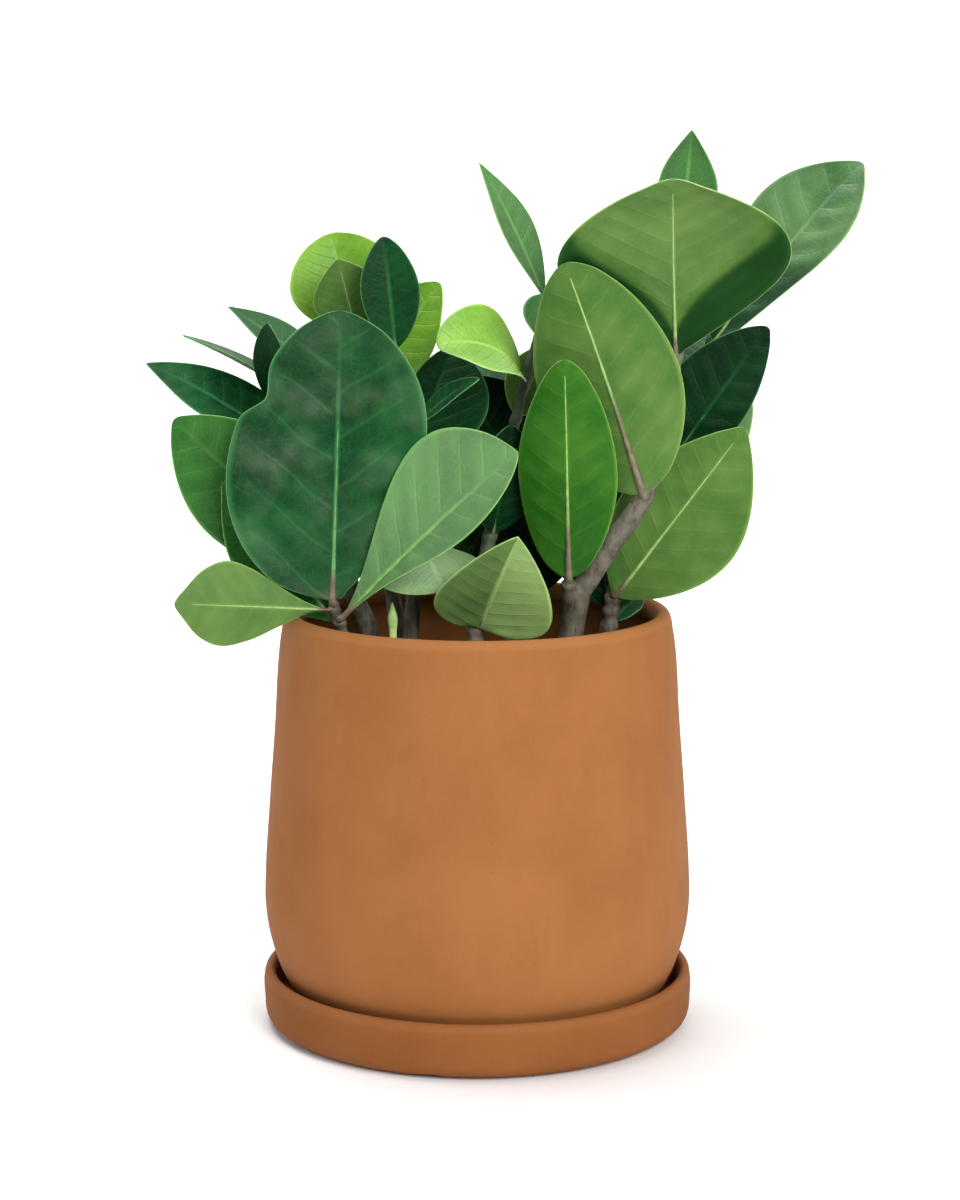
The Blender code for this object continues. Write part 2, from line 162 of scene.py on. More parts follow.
def noise_at(places: np.ndarray, scale: float, seed: float = 0.0) -> np.ndarray:
    """Sample smooth noise.

    Args:
        places: Array whose last axis holds x, y and z in millimetres.
        scale: Size of the noise's lumps in millimetres.
        seed: Shift that gives a different pattern.

    Returns:
        Noise between about -1 and 1, in the shape of the places without the last axis.
    """
    flat = places.reshape(-1, 3) / scale + seed
    values = np.array([noise.noise(Vector(place)) for place in flat])
    return values.reshape(places.shape[:-1])


def through(points: np.ndarray, spots: np.ndarray, before: np.ndarray,
            after: np.ndarray) -> np.ndarray:
    """Follow a smooth line through rows of points.

    Args:
        points: Points, row by row.
        spots: Row numbers with fractions to read.
        before: The row before the first one.
        after: The row after the last one.

    Returns:
        One row of points for each spot.
    """
    padded = np.concatenate([before[None], points, after[None]])
    index = np.clip(np.floor(spots).astype(int), 0, len(points) - 2)
    share = (spots - index).reshape(-1, *([1] * (points.ndim - 1)))
    first, start, end, last = (padded[index + step] for step in range(4))
    return 0.5 * (2.0 * start + (end - first) * share
                  + (2.0 * first - 5.0 * start + 4.0 * end - last) * share ** 2
                  + (3.0 * start - first - 3.0 * end + last) * share ** 3)


def bands(rings: Sequence[Sequence[int]]) -> list[list[int]]:
    """Join rings of corners, each one to the next, with bands of faces.

    Args:
        rings: Corner numbers of each closed ring, or the single number of a pole.

    Returns:
        Corner numbers of each face, band by band.
    """
    faces = []
    for first, second in zip(rings, rings[1:]):
        count = max(len(first), len(second))
        for step in range(count):
            after = (step + 1) % count
            face = [first[step % len(first)], first[after % len(first)],
                    second[after % len(second)], second[step % len(second)]]
            faces.append(list(dict.fromkeys(face)))
    return faces


def tube(path: np.ndarray, radii: np.ndarray, sides: int) -> tuple[np.ndarray, list[list[int]]]:
    """Sweep a closed round tube along a path.

    Args:
        path: Middle points of the tube.
        radii: Radius at each point.
        sides: Number of sides.

    Returns:
        Corners, ring by ring, and faces.
    """
    ahead = np.gradient(path, axis=0)
    ahead /= np.linalg.norm(ahead, axis=1, keepdims=True)
    aside = np.cross(ahead[0], (0.31, 0.95, 0.05))
    corners = []
    for middle, way, radius in zip(path, ahead, radii):
        aside = aside - way * np.dot(aside, way)
        aside /= np.linalg.norm(aside)
        other = np.cross(way, aside)
        for turn in np.arange(sides) * 2.0 * math.pi / sides:
            corners.append(middle + radius * (aside * math.cos(turn) + other * math.sin(turn)))
    rings = np.arange(len(corners)).reshape(-1, sides).tolist()
    return np.array(corners), bands(rings) + [rings[0], rings[-1]]


class Nodes:
    """Lays out and links the nodes of one material."""

    def __init__(self, name: str) -> None:
        """Start a material with its Principled shader.

        Args:
            name: Name of the material.
        """
        self.material = bpy.data.materials.new(name)
        self.material.use_nodes = True
        self.tree = self.material.node_tree
        self.surface = self.tree.nodes["Principled BSDF"]

    def add(self, kind: str, inputs: dict, **settings: object) -> bpy.types.Node:
        """Add a node.

        Args:
            kind: The node's Blender type name.
            inputs: Values or sockets for its inputs, by name or number.
            settings: Properties of the node.

        Returns:
            The new node.
        """
        node = self.tree.nodes.new(kind)
        for key, value in settings.items():
            setattr(node, key, value)
        for key, value in inputs.items():
            self.feed(node.inputs[key], value)
        return node

    def feed(self, socket: bpy.types.NodeSocket, value: object) -> None:
        """Link a socket to another one, or set its value.

        Args:
            socket: The input socket.
            value: The output socket or the value that feeds it.
        """
        if isinstance(value, bpy.types.NodeSocket):
            self.tree.links.new(value, socket)
        else:
            socket.default_value = value

    def places(self, scale: Sequence[float] = (1.0, 1.0, 1.0)) -> bpy.types.NodeSocket:
        """Return object coordinates in metres, stretched by a scale."""
        here = self.add("ShaderNodeTexCoord", {}).outputs["Object"]
        return self.add("ShaderNodeMapping", {"Vector": here, "Scale": scale}).outputs[0]

    def clouds(self, vector: bpy.types.NodeSocket, scale: float, detail: float = 3.0,
               rough: float = 0.5) -> bpy.types.NodeSocket:
        """Return noise from 0 to 1 with the given number of lumps to the metre."""
        return self.add("ShaderNodeTexNoise", {"Vector": vector, "Scale": scale, "Detail": detail,
                                               "Roughness": rough}).outputs["Fac"]

    def span(self, value: bpy.types.NodeSocket, low: float, high: float, start: float = 0.0,
             end: float = 1.0) -> bpy.types.NodeSocket:
        """Map a value smoothly from one range to another."""
        return self.add("ShaderNodeMapRange", {0: value, 1: low, 2: high, 3: start, 4: end},
                        interpolation_type="SMOOTHSTEP").outputs[0]

    def sum(self, kind: str, first: object, second: object = 0.0) -> bpy.types.NodeSocket:
        """Return the result of a Math node of the given operation."""
        return self.add("ShaderNodeMath", {0: first, 1: second}, operation=kind).outputs[0]

    def blend(self, share: object, first: object, second: object,
              kind: str = "MIX") -> bpy.types.NodeSocket:
        """Mix two colours.

        Args:
            share: How much of the second colour there is, from 0 to 1.
            first: The first colour or socket.
            second: The second colour or socket.
            kind: The way of mixing.

        Returns:
            The mixed colour.
        """
        mix = self.add("ShaderNodeMix", {}, data_type="RGBA", blend_type=kind)
        for socket, value in ((mix.inputs[0], share), (mix.inputs[6], first),
                              (mix.inputs[7], second)):
            self.feed(socket, (*value, 1.0) if isinstance(value, tuple) else value)
        return mix.outputs[2]

    def parts(self, vector: bpy.types.NodeSocket) -> bpy.types.NodeOutputs:
        """Return the three parts of a vector."""
        return self.add("ShaderNodeSeparateXYZ", {0: vector}).outputs

    def stored(self, name: str) -> bpy.types.NodeOutputs:
        """Return the three parts of the mesh attribute of the given name."""
        attribute = self.add("ShaderNodeAttribute", {}, attribute_name=name)
        return self.parts(attribute.outputs["Vector"])

    def dress(self, colour: bpy.types.NodeSocket, rough: object,
              specular: float | None = None) -> None:
        """Give the surface its look.

        Args:
            colour: The surface's colour.
            rough: Its roughness, a value or a socket.
            specular: How much it mirrors, left as it is if not given.
        """
        self.feed(self.surface.inputs["Base Color"], colour)
        self.feed(self.surface.inputs["Roughness"], rough)
        if specular is not None:
            self.surface.inputs["Specular IOR Level"].default_value = specular

    def relief(self, height: bpy.types.NodeSocket, depth: float, strength: float = 1.0) -> None:
        """Raise the surface's normal by a height.

        Args:
            height: The height, from about 0 to 1.
            depth: What a height of 1 stands for, in millimetres.
            strength: Share of the relief that shows.
        """
        bump = self.add("ShaderNodeBump", {"Height": height, "Distance": depth * MM,
                                           "Strength": strength})
        self.tree.links.new(bump.outputs[0], self.surface.inputs["Normal"])


# ---------------------------------------------------------------- finishes


@dataclass(frozen=True)
class ClayFinish:
    """Matt unglazed terracotta with soft clouds, upright streaks, fine grain and a painted highlight
    along the rim.
    """

    name: str
    body: Colour
    dark: Colour
    light: Colour
    rim_height: float
    roughness: float = 0.78
    specular: float = 0.16
    cloud_scale: float = 26.0
    streak_scale: float = 70.0
    grain_scale: float = 1500.0
    pit_scale: float = 620.0
    relief_depth: float = 0.12

    def material(self) -> bpy.types.Material:
        """Lay out the clay's look.

        Returns:
            The clay's material.
        """
        nodes = Nodes(self.name)
        here = nodes.places()
        upright = nodes.places((1.0, 1.0, 0.18))
        clouds = nodes.clouds(here, self.cloud_scale, 5.0, 0.62)
        streaks = nodes.clouds(upright, self.streak_scale, 4.0, 0.6)
        grain = nodes.clouds(here, self.grain_scale, 3.0, 0.7)
        colour = nodes.blend(nodes.span(clouds, 0.25, 0.7), self.dark, self.body)
        colour = nodes.blend(nodes.span(streaks, 0.5, 0.8, 0.0, 0.25), colour, self.light)
        colour = nodes.blend(nodes.span(grain, 0.35, 0.75, 0.0, 0.22), colour, self.light)
        pits = nodes.clouds(here, self.pit_scale, 2.0, 0.5)
        colour = nodes.blend(nodes.span(pits, 0.68, 0.76, 0.0, 0.35), colour, self.dark)
        height = nodes.parts(here)[2]
        # Painted highlight: a lighter band just under the rim's top, where light catches the rounded
        # edge.
        rim_highlight = nodes.span(height, (self.rim_height - 3.4) * MM, (self.rim_height - 2.2) * MM)
        colour = nodes.blend(nodes.sum("MULTIPLY", rim_highlight, 0.4), colour, self.light)
        rough = nodes.span(clouds, 0.2, 0.8, self.roughness + 0.08, self.roughness - 0.06)
        nodes.dress(colour, rough, self.specular)
        body = nodes.sum("MULTIPLY", grain, 0.5)
        body = nodes.sum("ADD", body, nodes.sum("MULTIPLY", streaks, 0.7))
        body = nodes.sum("SUBTRACT", body, nodes.span(pits, 0.68, 0.8))
        nodes.relief(body, self.relief_depth, 0.8)
        return nodes.material


@dataclass(frozen=True)
class EarthFinish:
    """Loose matt matter in the pot: soil, bark chips or white grains."""

    name: str
    dark: Colour
    light: Colour
    scale: float = 260.0
    depth: float = 0.6
    roughness: float = 0.92
    specular: float = 0.2

    def material(self) -> bpy.types.Material:
        """Lay out the look of the loose matter.

        Returns:
            The matter's material.
        """
        nodes = Nodes(self.name)
        here = nodes.places()
        lumps = nodes.clouds(here, self.scale, 6.0, 0.68)
        fine = nodes.clouds(here, self.scale * 5.0, 3.0, 0.6)
        colour = nodes.blend(nodes.span(lumps, 0.35, 0.7), self.dark, self.light)
        colour = nodes.blend(nodes.span(fine, 0.4, 0.8, 0.0, 0.4), colour, self.dark)
        nodes.dress(colour, self.roughness, self.specular)
        nodes.relief(nodes.sum("ADD", lumps, fine), self.depth, 0.9)
        return nodes.material


@dataclass(frozen=True)
class BarkFinish:
    """Grey-brown woody skin with lengthwise streaks that turns to a top colour higher up: young green
    on the woody stem, painted deep shade on the inner stems.
    """

    name: str = "stem_bark"
    dark: Colour = (0.056, 0.045, 0.03)
    light: Colour = (0.162, 0.148, 0.107)
    young_and_shaded: Colour = (0.13, 0.2, 0.07)
    young_and_shaded_from: float = 190.0
    young_and_shaded_to: float = 250.0
    roughness: float = 0.62
    relief_depth: float = 0.5

    def material(self) -> bpy.types.Material:
        """Lay out the bark's look.

        Returns:
            The bark's material.
        """
        nodes = Nodes(self.name)
        here = nodes.places()
        streaks = nodes.clouds(nodes.places((1.0, 1.0, 0.1)), 900.0, 4.0, 0.65)
        patches = nodes.clouds(here, 130.0, 4.0, 0.6)
        colour = nodes.blend(nodes.span(patches, 0.36, 0.62), self.dark, self.light)
        colour = nodes.blend(nodes.span(streaks, 0.45, 0.66, 0.0, 0.55), colour, self.light)
        cracks = nodes.span(streaks, 0.3, 0.42, 0.7, 0.0)
        colour = nodes.blend(cracks, colour, self.dark)
        # Higher up the bark turns to its top colour: young green on the woody stem, painted deep shade
        # on the inner stems.
        height = nodes.parts(here)[2]
        green = nodes.span(height, self.young_and_shaded_from * MM, self.young_and_shaded_to * MM, 0.0, 0.7)
        colour = nodes.blend(green, colour, self.young_and_shaded)
        nodes.dress(colour, self.roughness)
        nodes.relief(nodes.sum("ADD", streaks, patches), self.relief_depth, 0.8)
        return nodes.material


@dataclass(frozen=True)
class BladeFinish:
    """One side of a leaf: ground colour, lighter clouds, veins and a waxy or satin gloss."""

    name: str
    dark: Colour
    light: Colour
    vein: Colour
    roughness: float
    vein_show: float = 0.35
    rib_show: float = 0.75
    vein_height: float = -0.6
    net_show: float = 0.12
    bump: float = 0.35
    specular: float = 0.5
    net_scale: float = 330.0
    # The haze and the first gain give a paler, sheen-like look; the second gain is painted light and
    # the third painted shade.
    haze: Colour = (0.5, 0.6, 0.4)
    pale_and_sheen_gain: Colour = (1.55, 1.45, 1.5)
    painted_light_gain: Colour = (1.7, 1.7, 1.5)
    shaded_gain: Colour = (0.08, 0.26, 0.2)
    woody: Colour = (0.2, 0.16, 0.1)

    def material(self) -> bpy.types.Material:
        """Lay out the look of one side of a blade.

        Returns:
            The side's material.
        """
        nodes = Nodes(self.name)
        here = nodes.places()
        phase, aside, along = nodes.stored("veins")
        edge, tone, brown = nodes.stored("blade")
        wander = nodes.sum("MULTIPLY", nodes.clouds(here, 120.0, 2.0), 0.16)
        turn = nodes.sum("FRACT", nodes.sum("ADD", phase, wander))
        off_vein = nodes.sum("ABSOLUTE", nodes.sum("SUBTRACT", turn, 0.58))
        veins = nodes.sum("MULTIPLY", nodes.span(off_vein, 0.0, 0.085, 1.0, 0.0),
                          nodes.span(edge, 0.55, 0.97, 1.0, 0.15))
        off_rib = nodes.sum("ABSOLUTE", aside)
        rib = nodes.sum("MULTIPLY", nodes.span(off_rib, 0.25, 1.15, 1.0, 0.0),
                        nodes.span(along, 0.5, 0.97, 1.0, 0.1))
        net = nodes.add("ShaderNodeTexVoronoi", {"Vector": here, "Scale": self.net_scale},
                        feature="DISTANCE_TO_EDGE").outputs["Distance"]
        mesh = nodes.span(net, 0.0, 0.09, 1.0, 0.0)
        clouds = nodes.clouds(here, 48.0, 4.0, 0.55)
        fine = nodes.clouds(here, 420.0, 4.0, 0.6)
        colour = nodes.blend(nodes.span(clouds, 0.32, 0.68), self.dark, self.light)
        between = nodes.span(off_vein, 0.1, 0.5, 0.0, 0.25)
        colour = nodes.blend(between, colour, self.dark)
        colour = nodes.blend(nodes.span(fine, 0.4, 0.7, 0.0, 0.16), colour, self.light)
        colour = nodes.blend(nodes.sum("MULTIPLY", mesh, self.net_show), colour, self.vein)
        colour = nodes.blend(nodes.sum("MULTIPLY", veins, self.vein_show), colour, self.vein)
        colour = nodes.blend(nodes.sum("MULTIPLY", rib, self.rib_show), colour, self.vein)
        colour = nodes.blend(nodes.span(edge, 0.93, 1.0, 0.0, 0.6), colour, self.vein)
        # Stored tone: from 0 to 1 the colour turns paler and greyer, partly the leaf's own paler tone
        # and partly painted sheen; from 1 to 2 painted light brightens a leaf that lies in shade; below
        # 0 painted shade darkens it.
        pale_and_sheen = nodes.blend(1.0, nodes.blend(0.14, colour, self.haze), self.pale_and_sheen_gain,
                             "MULTIPLY")
        colour = nodes.blend(nodes.span(tone, 0.0, 1.0), colour, pale_and_sheen)
        colour = nodes.blend(nodes.span(tone, 1.0, 2.0), colour,
                             nodes.blend(1.0, colour, self.painted_light_gain, "MULTIPLY"))
        colour = nodes.blend(nodes.span(tone, -1.5, 0.0, 1.0, 0.0), colour,
                             nodes.blend(1.0, colour, self.shaded_gain, "MULTIPLY"))
        colour = nodes.blend(brown, colour, self.woody)
        rough = nodes.span(clouds, 0.3, 0.7, self.roughness - 0.05, self.roughness + 0.09)
        nodes.dress(colour, rough, self.specular)
        height = nodes.sum("MULTIPLY", nodes.sum("MAXIMUM", veins, rib), self.vein_height)
        height = nodes.sum("ADD", height, nodes.sum("MULTIPLY", mesh, self.vein_height * 0.25))
        height = nodes.sum("ADD", height, nodes.sum("MULTIPLY", fine, 0.3))
        nodes.relief(height, self.bump, 0.85)
        return nodes.material


@dataclass(frozen=True)
class RibFinish:
    """The leaf's stalk and raised midrib: green, turning woody brown towards the stem."""

    name: str
    green: Colour
    brown: Colour = (0.23, 0.185, 0.125)
    dark_brown: Colour = (0.12, 0.09, 0.055)
    roughness: float = 0.5
    relief_depth: float = 0.2

    def material(self) -> bpy.types.Material:
        """Lay out the stalk's look.

        Returns:
            The stalk's material.
        """
        nodes = Nodes(self.name)
        here = nodes.places()
        _, tone, brown = nodes.stored("blade")
        clouds = nodes.clouds(here, 300.0, 4.0, 0.6)
        deep = nodes.blend(1.0, self.green, (0.62, 0.72, 0.6), "MULTIPLY")
        colour = nodes.blend(nodes.span(clouds, 0.35, 0.7), deep, self.green)
        # Painted shade: the stalks of leaves with a dark tone are darkened as well.
        colour = nodes.blend(nodes.span(tone, -1.0, 0.0, 0.6, 0.0), colour,
                             nodes.blend(1.0, colour, (0.3, 0.4, 0.35), "MULTIPLY"))
        woody = nodes.blend(nodes.span(clouds, 0.3, 0.7), self.dark_brown, self.brown)
        colour = nodes.blend(nodes.span(brown, 0.0, 0.7), colour, woody)
        nodes.dress(colour, self.roughness)
        nodes.relief(nodes.clouds(here, 800.0, 3.0), self.relief_depth, 0.6)
        return nodes.material


RIM_COLOURS = {
    Tone.DEEP: (0.13, 0.36, 0.12),
    Tone.GREEN: (0.3, 0.55, 0.13),
    Tone.PALE: (0.4, 0.6, 0.2),
    Tone.LIME: (0.6, 0.8, 0.3),
}

UPPER_FINISHES = {
    Tone.DEEP: BladeFinish("upper_deep", (0.003, 0.036, 0.01), (0.01, 0.092, 0.023),
                           (0.04, 0.19, 0.06), 0.42, vein_show=0.22, specular=0.08),
    Tone.GREEN: BladeFinish("upper_green", (0.01, 0.082, 0.01), (0.035, 0.155, 0.024),
                            (0.1, 0.3, 0.06), 0.44, vein_show=0.22, specular=0.12),
    Tone.PALE: BladeFinish("upper_pale", (0.04, 0.135, 0.035), (0.12, 0.25, 0.08),
                           (0.22, 0.36, 0.14), 0.42, vein_show=0.25, specular=0.3),
    Tone.LIME: BladeFinish("upper_lime", (0.11, 0.3, 0.014), (0.22, 0.44, 0.03),
                           (0.38, 0.58, 0.1), 0.42, vein_show=0.16, specular=0.3),
}

UNDERSIDE = {"roughness": 0.58, "vein_show": 0.13, "rib_show": 0.4, "vein_height": 0.3,
             "net_show": 0.05, "bump": 0.3, "specular": 0.1}
LIME_UNDERSIDE = UNDERSIDE | {"roughness": 0.5, "vein_show": 0.16, "specular": 0.25}

UNDER_FINISHES = {
    Tone.DEEP: BladeFinish("under_deep", (0.024, 0.11, 0.022), (0.06, 0.18, 0.045),
                           (0.14, 0.3, 0.08), **UNDERSIDE),
    Tone.GREEN: BladeFinish("under_green", (0.014, 0.105, 0.006), (0.045, 0.17, 0.014),
                            (0.12, 0.28, 0.035), **UNDERSIDE),
    Tone.PALE: BladeFinish("under_pale", (0.055, 0.145, 0.024), (0.11, 0.21, 0.045),
                           (0.2, 0.33, 0.07), **UNDERSIDE),
    Tone.LIME: BladeFinish("under_lime", (0.13, 0.3, 0.03), (0.22, 0.43, 0.05),
                           (0.38, 0.58, 0.12), **LIME_UNDERSIDE),
}


# ---------------------------------------------------------------- pot and saucer


@dataclass
class TurnedClay:
    """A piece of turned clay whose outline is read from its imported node."""

    node: str
    finish: ClayFinish
    steps_round: int = 216
    step_along: float = 1.6
    wobble: float = 0.12
    nick_at: tuple[float, float] | None = None
    nick_radius: float = 6.2
    nick_height: float = 1.6

    def outline(self) -> np.ndarray:
        """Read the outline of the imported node.

        Returns:
            Radius and height pairs in millimetres, from the middle of the bottom outwards.
        """
        corners, faces = millimetres(self.node)
        on_line = {index for index, (x, y, _) in enumerate(corners) if x > -1e-3 and abs(y) < 1e-3}
        links: dict[int, set[int]] = {index: set() for index in on_line}
        for face in faces:
            for first, second in zip(face, face[1:] + face[:1]):
                if first in on_line and second in on_line:
                    links[first].add(second)
                    links[second].add(first)
        start = min(on_line, key=lambda index: (round(corners[index][2], 2), corners[index][0]))
        walk = [start]
        options = sorted(links[start], key=lambda index: (corners[index][2], -corners[index][0]))
        while options:
            walk.append(options[0])
            options = [index for index in links[walk[-1]] if index not in walk]
        return np.array([(corners[index][0], corners[index][2]) for index in walk])

    def fine_outline(self) -> np.ndarray:
        """Smooth the outline.

        Returns:
            Closely spaced radius and height pairs.
        """
        marks = self.outline()
        if marks[-1][0] > 1.0:
            marks = np.concatenate([marks, marks[:1]])
        spots = [0.0]
        for index in range(len(marks) - 1):
            run = float(np.linalg.norm(marks[index + 1] - marks[index]))
            count = max(2, min(14, round(run / self.step_along)))
            spots.extend(index + (step + 1) / count for step in range(count))
        runs = np.linalg.norm(np.diff(marks, axis=0), axis=1)
        fine = []
        for spot in spots:
            index = min(int(spot), len(marks) - 2)
            share = spot - index
            start, end = marks[index], marks[index + 1]
            lead = self.slope(marks, runs, index) * runs[index]
            trail = self.slope(marks, runs, index + 1) * runs[index]
            fine.append((2 * share ** 3 - 3 * share ** 2 + 1) * start
                        + (share ** 3 - 2 * share ** 2 + share) * lead
                        + (3 * share ** 2 - 2 * share ** 3) * end
                        + (share ** 3 - share ** 2) * trail)
        return np.array(fine)

    @staticmethod
    def slope(marks: np.ndarray, runs: np.ndarray, index: int) -> np.ndarray:
        """Find the direction of the outline at a mark, led by the shorter run beside it.

        Args:
            marks: The outline's radius and height pairs.
            runs: Lengths between the marks.
            index: Number of the mark.

        Returns:
            The direction, as a change of radius and height to the millimetre.
        """
        before = (marks[index] - marks[index - 1]) / runs[index - 1] if index else None
        after = (marks[index + 1] - marks[index]) / runs[index] if index < len(runs) else None
        if before is None:
            return after
        if after is None:
            return before
        share = runs[index - 1] / (runs[index - 1] + runs[index])
        return before * (1.0 - share) + after * share

    def build(self) -> None:
        """Turn the outline round the Z axis, with the slight unevenness of pressed clay."""
        outline = self.fine_outline()
        closed = outline[-1][0] > 1.0
        if closed:
            outline = outline[:-1]
        turns = np.arange(self.steps_round) * 2.0 * math.pi / self.steps_round
        corners: list[tuple[float, float, float]] = []
        rings = []
        for radius, height in outline:
            ring = [(radius * math.cos(turn), radius * math.sin(turn), height) for turn in turns]
            if radius < 1e-3:
                ring = [(0.0, 0.0, height)]
            rings.append(list(range(len(corners), len(corners) + len(ring))))
            corners += ring
        places = np.array(corners)
        self.press(places)
        faces = bands(rings + rings[:1] if closed else rings)
        piece = make_piece(f"{self.node}_clay", places, faces, [self.finish.material()])
        mount_piece(piece, self.node, self.node)

    def press(self, places: np.ndarray) -> None:
        """Move the corners by the clay's unevenness and press the nick in.

        Args:
            places: Corner places in millimetres, changed in place.
        """
        radii = np.hypot(places[:, 0], places[:, 1])
        lumps = noise_at(places * (1.0, 1.0, 2.2), 34.0, 3.1) + 0.5 * noise_at(places, 9.0, 7.7)
        low, high = places[:, 2].min(), places[:, 2].max()
        # The foot and the lip stay true, and the wall between them is free to wobble.
        free = smooth_step(places[:, 2], low + 1.0, low + 8.0)
        free *= smooth_step(-places[:, 2], -high + 0.2, -high + 2.5)
        change = -self.wobble * (0.6 + 0.8 * lumps) * free
        outer = radii > 12.0
        places[outer, :2] *= (1.0 + change[outer] / radii[outer])[:, None]
        if self.nick_at is None:
            return
        away = np.hypot(places[:, 0] - self.nick_at[0], places[:, 1] - self.nick_at[1])
        # A flat-topped dome lifts the underside.
        edge = np.sqrt(np.clip(1.0 - (away / self.nick_radius) ** 4, 0.0, 1.0))
        places[:, 2] = np.maximum(places[:, 2], self.nick_height * edge)


# ---------------------------------------------------------------- soil


@dataclass
class SoilBed:
    """The potting soil with its crumbs, bark chips and white grains."""

    pot_outline: np.ndarray
    steps_round: int = 168
    top_rings: int = 60
    mound: float = 3.0
    peak: float = 4.2            # how far the lumps' tops stand over the level at the wall
    gap: float = 0.3
    crumbs: int = 620
    chips: int = 46
    grains: int = 34
    seed: int = 11

    def top(self, x: np.ndarray, y: np.ndarray) -> np.ndarray:
        """Find the height of the soil's surface.

        Args:
            x: Places along X in millimetres.
            y: Places along Y in millimetres.

        Returns:
            The heights in millimetres.
        """
        reach = np.hypot(x, y) / self.radius
        flat = np.stack([x, y, np.zeros_like(x)], axis=-1)
        lumps = (1.5 * noise_at(flat, 17.0, 1.3) + 0.9 * noise_at(flat, 6.0, 5.1)
                 + 0.45 * noise_at(flat, 2.4, 9.7))
        calm = smooth_step(1.0 - reach, 0.0, 0.06) * 0.8 + 0.2
        return self.level + self.mound * (1.0 - reach ** 2) + lumps * calm

    def build(self) -> None:
        """Make the soil's body, then scatter what lies on it."""
        rim = int(np.argmax(self.pot_outline[:, 1]))
        wall = self.pot_outline[rim:]
        self.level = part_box("soil")[1].z / MM - self.peak
        self.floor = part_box("soil")[0].z / MM
        wall = [(r - self.gap, z) for r, z in wall if self.floor + 1.0 < z < self.level - 1.0]
        self.radius = wall[0][0] - 0.1
        radii = self.radius * (1.0 - np.linspace(1.0, 0.0, self.top_rings) ** 0.8)
        rows = [(radius, None) for radius in radii] + wall[::3]
        rows.append((wall[-1][0], self.floor))
        turns = np.arange(self.steps_round) * 2.0 * math.pi / self.steps_round
        rings = []
        for radius, height in rows[1:]:
            x, y = radius * np.cos(turns), radius * np.sin(turns)
            z = self.top(x, y) if height is None else np.full_like(x, height)
            rings.append(np.stack([x, y, z], axis=-1))
        centre = np.array([[0.0, 0.0, float(self.top(np.zeros(1), np.zeros(1))[0])]])
        corners = np.concatenate([centre, *rings])
        numbers = np.arange(1, len(corners)).reshape(-1, self.steps_round).tolist()
        faces = bands([[0], *numbers]) + [numbers[-1]]
        earth = EarthFinish("damp_soil", (0.012, 0.008, 0.005), (0.05, 0.032, 0.02))
        piece = make_piece("soil_bed", corners, faces, [earth.material()])
        mount_piece(piece, "soil", "soil")
        draws = np.random.default_rng(self.seed)
        self.scatter("soil_crumbs", self.crumbs, (0.6, 2.1), (1.0, 1.0, 0.8), draws,
                     EarthFinish("soil_crumb", (0.016, 0.01, 0.007), (0.07, 0.045, 0.028)))
        self.scatter("bark_chips", self.chips, (1.8, 3.6), (1.0, 0.5, 0.22), draws,
                     EarthFinish("bark_chip", (0.05, 0.026, 0.013), (0.17, 0.095, 0.05), 400.0))
        self.scatter("perlite_grains", self.grains, (0.7, 1.4), (1.0, 0.9, 0.85), draws,
                     EarthFinish("perlite", (0.42, 0.4, 0.36), (0.72, 0.7, 0.65), 700.0, 0.3))

    def scatter(self, name: str, count: int, sizes: tuple[float, float],
                shape: tuple[float, float, float], draws: np.random.Generator,
                finish: EarthFinish) -> None:
        """Scatter small closed lumps over the soil as one piece.

        Args:
            name: Name of the piece.
            count: Number of lumps.
            sizes: Smallest and largest radius.
            shape: Length, width and height of a lump for a radius of 1.
            draws: Source of the random numbers.
            finish: Finish of the lumps.
        """
        seed_ball = bmesh.new()
        bmesh.ops.create_icosphere(seed_ball, subdivisions=2, radius=1.0)
        ball = np.array([vert.co for vert in seed_ball.verts])
        ball_faces = np.array([[vert.index for vert in face.verts] for face in seed_ball.faces])
        seed_ball.free()
        corners, faces = [], []
        for number in range(count):
            reach = (self.radius - 4.0) * math.sqrt(draws.random())
            turn = draws.random() * 2.0 * math.pi
            x, y = reach * math.cos(turn), reach * math.sin(turn)
            size = sizes[0] + (sizes[1] - sizes[0]) * draws.random() ** 2
            rough = 1.0 + 0.38 * noise_at(ball, 0.75, number * 3.7)
            lump = ball * rough[:, None] * np.array(shape) * size
            spin = draws.random() * 2.0 * math.pi
            lean = (draws.random() - 0.5) * 0.9
            x_new = lump[:, 0] * math.cos(lean) - lump[:, 2] * math.sin(lean)
            z_new = lump[:, 0] * math.sin(lean) + lump[:, 2] * math.cos(lean)
            turned = np.stack([x_new * math.cos(spin) - lump[:, 1] * math.sin(spin),
                               x_new * math.sin(spin) + lump[:, 1] * math.cos(spin), z_new], -1)
            ground = float(self.top(np.array([x]), np.array([y]))[0])
            faces.extend((ball_faces + len(corners) * len(ball)).tolist())
            corners.append(turned + (x, y, ground + 0.35 * size * shape[2]))
        piece = make_piece(name, np.concatenate(corners), faces, [finish.material()])
        mount_piece(piece, "soil")


# ---------------------------------------------------------------- leaves


@dataclass(frozen=True)
class LeafPlan:
    """How one leaf differs from a plain one."""

    shows: Side = Side.UPPER
    tone: float = 0.0            # -1.5 is nearly black green, 1 is washed out, 2 is bright; partly the leaf's own tone, partly painted shade and painted light
    pucker: float = 0.35         # height of the lumps between the veins
    quilt: float = 0.22          # rise of the blade between its side veins
    wave: float = 0.5            # rise and fall of the edges
    rib: float = 1.0             # thickness of the stalk and midrib
    wood: float = 0.04           # share of the midrib that is brown
    point: float = 0.5           # 0 is a round tip, 1 is a pointed one
    veins: float = 8.5           # side veins on each half
    notch: float = 0.0           # depth of a notch in the edge on the left
    split: float = 0.0           # painted shade: how much darker the half on the left is
    shade: float = 0.0           # share of the blade, from its base, that has painted deep shade
    slant: float = 0.0           # how much further the painted shade reaches along the edges
    grow: float = 1.0            # widening of the blade about its midrib


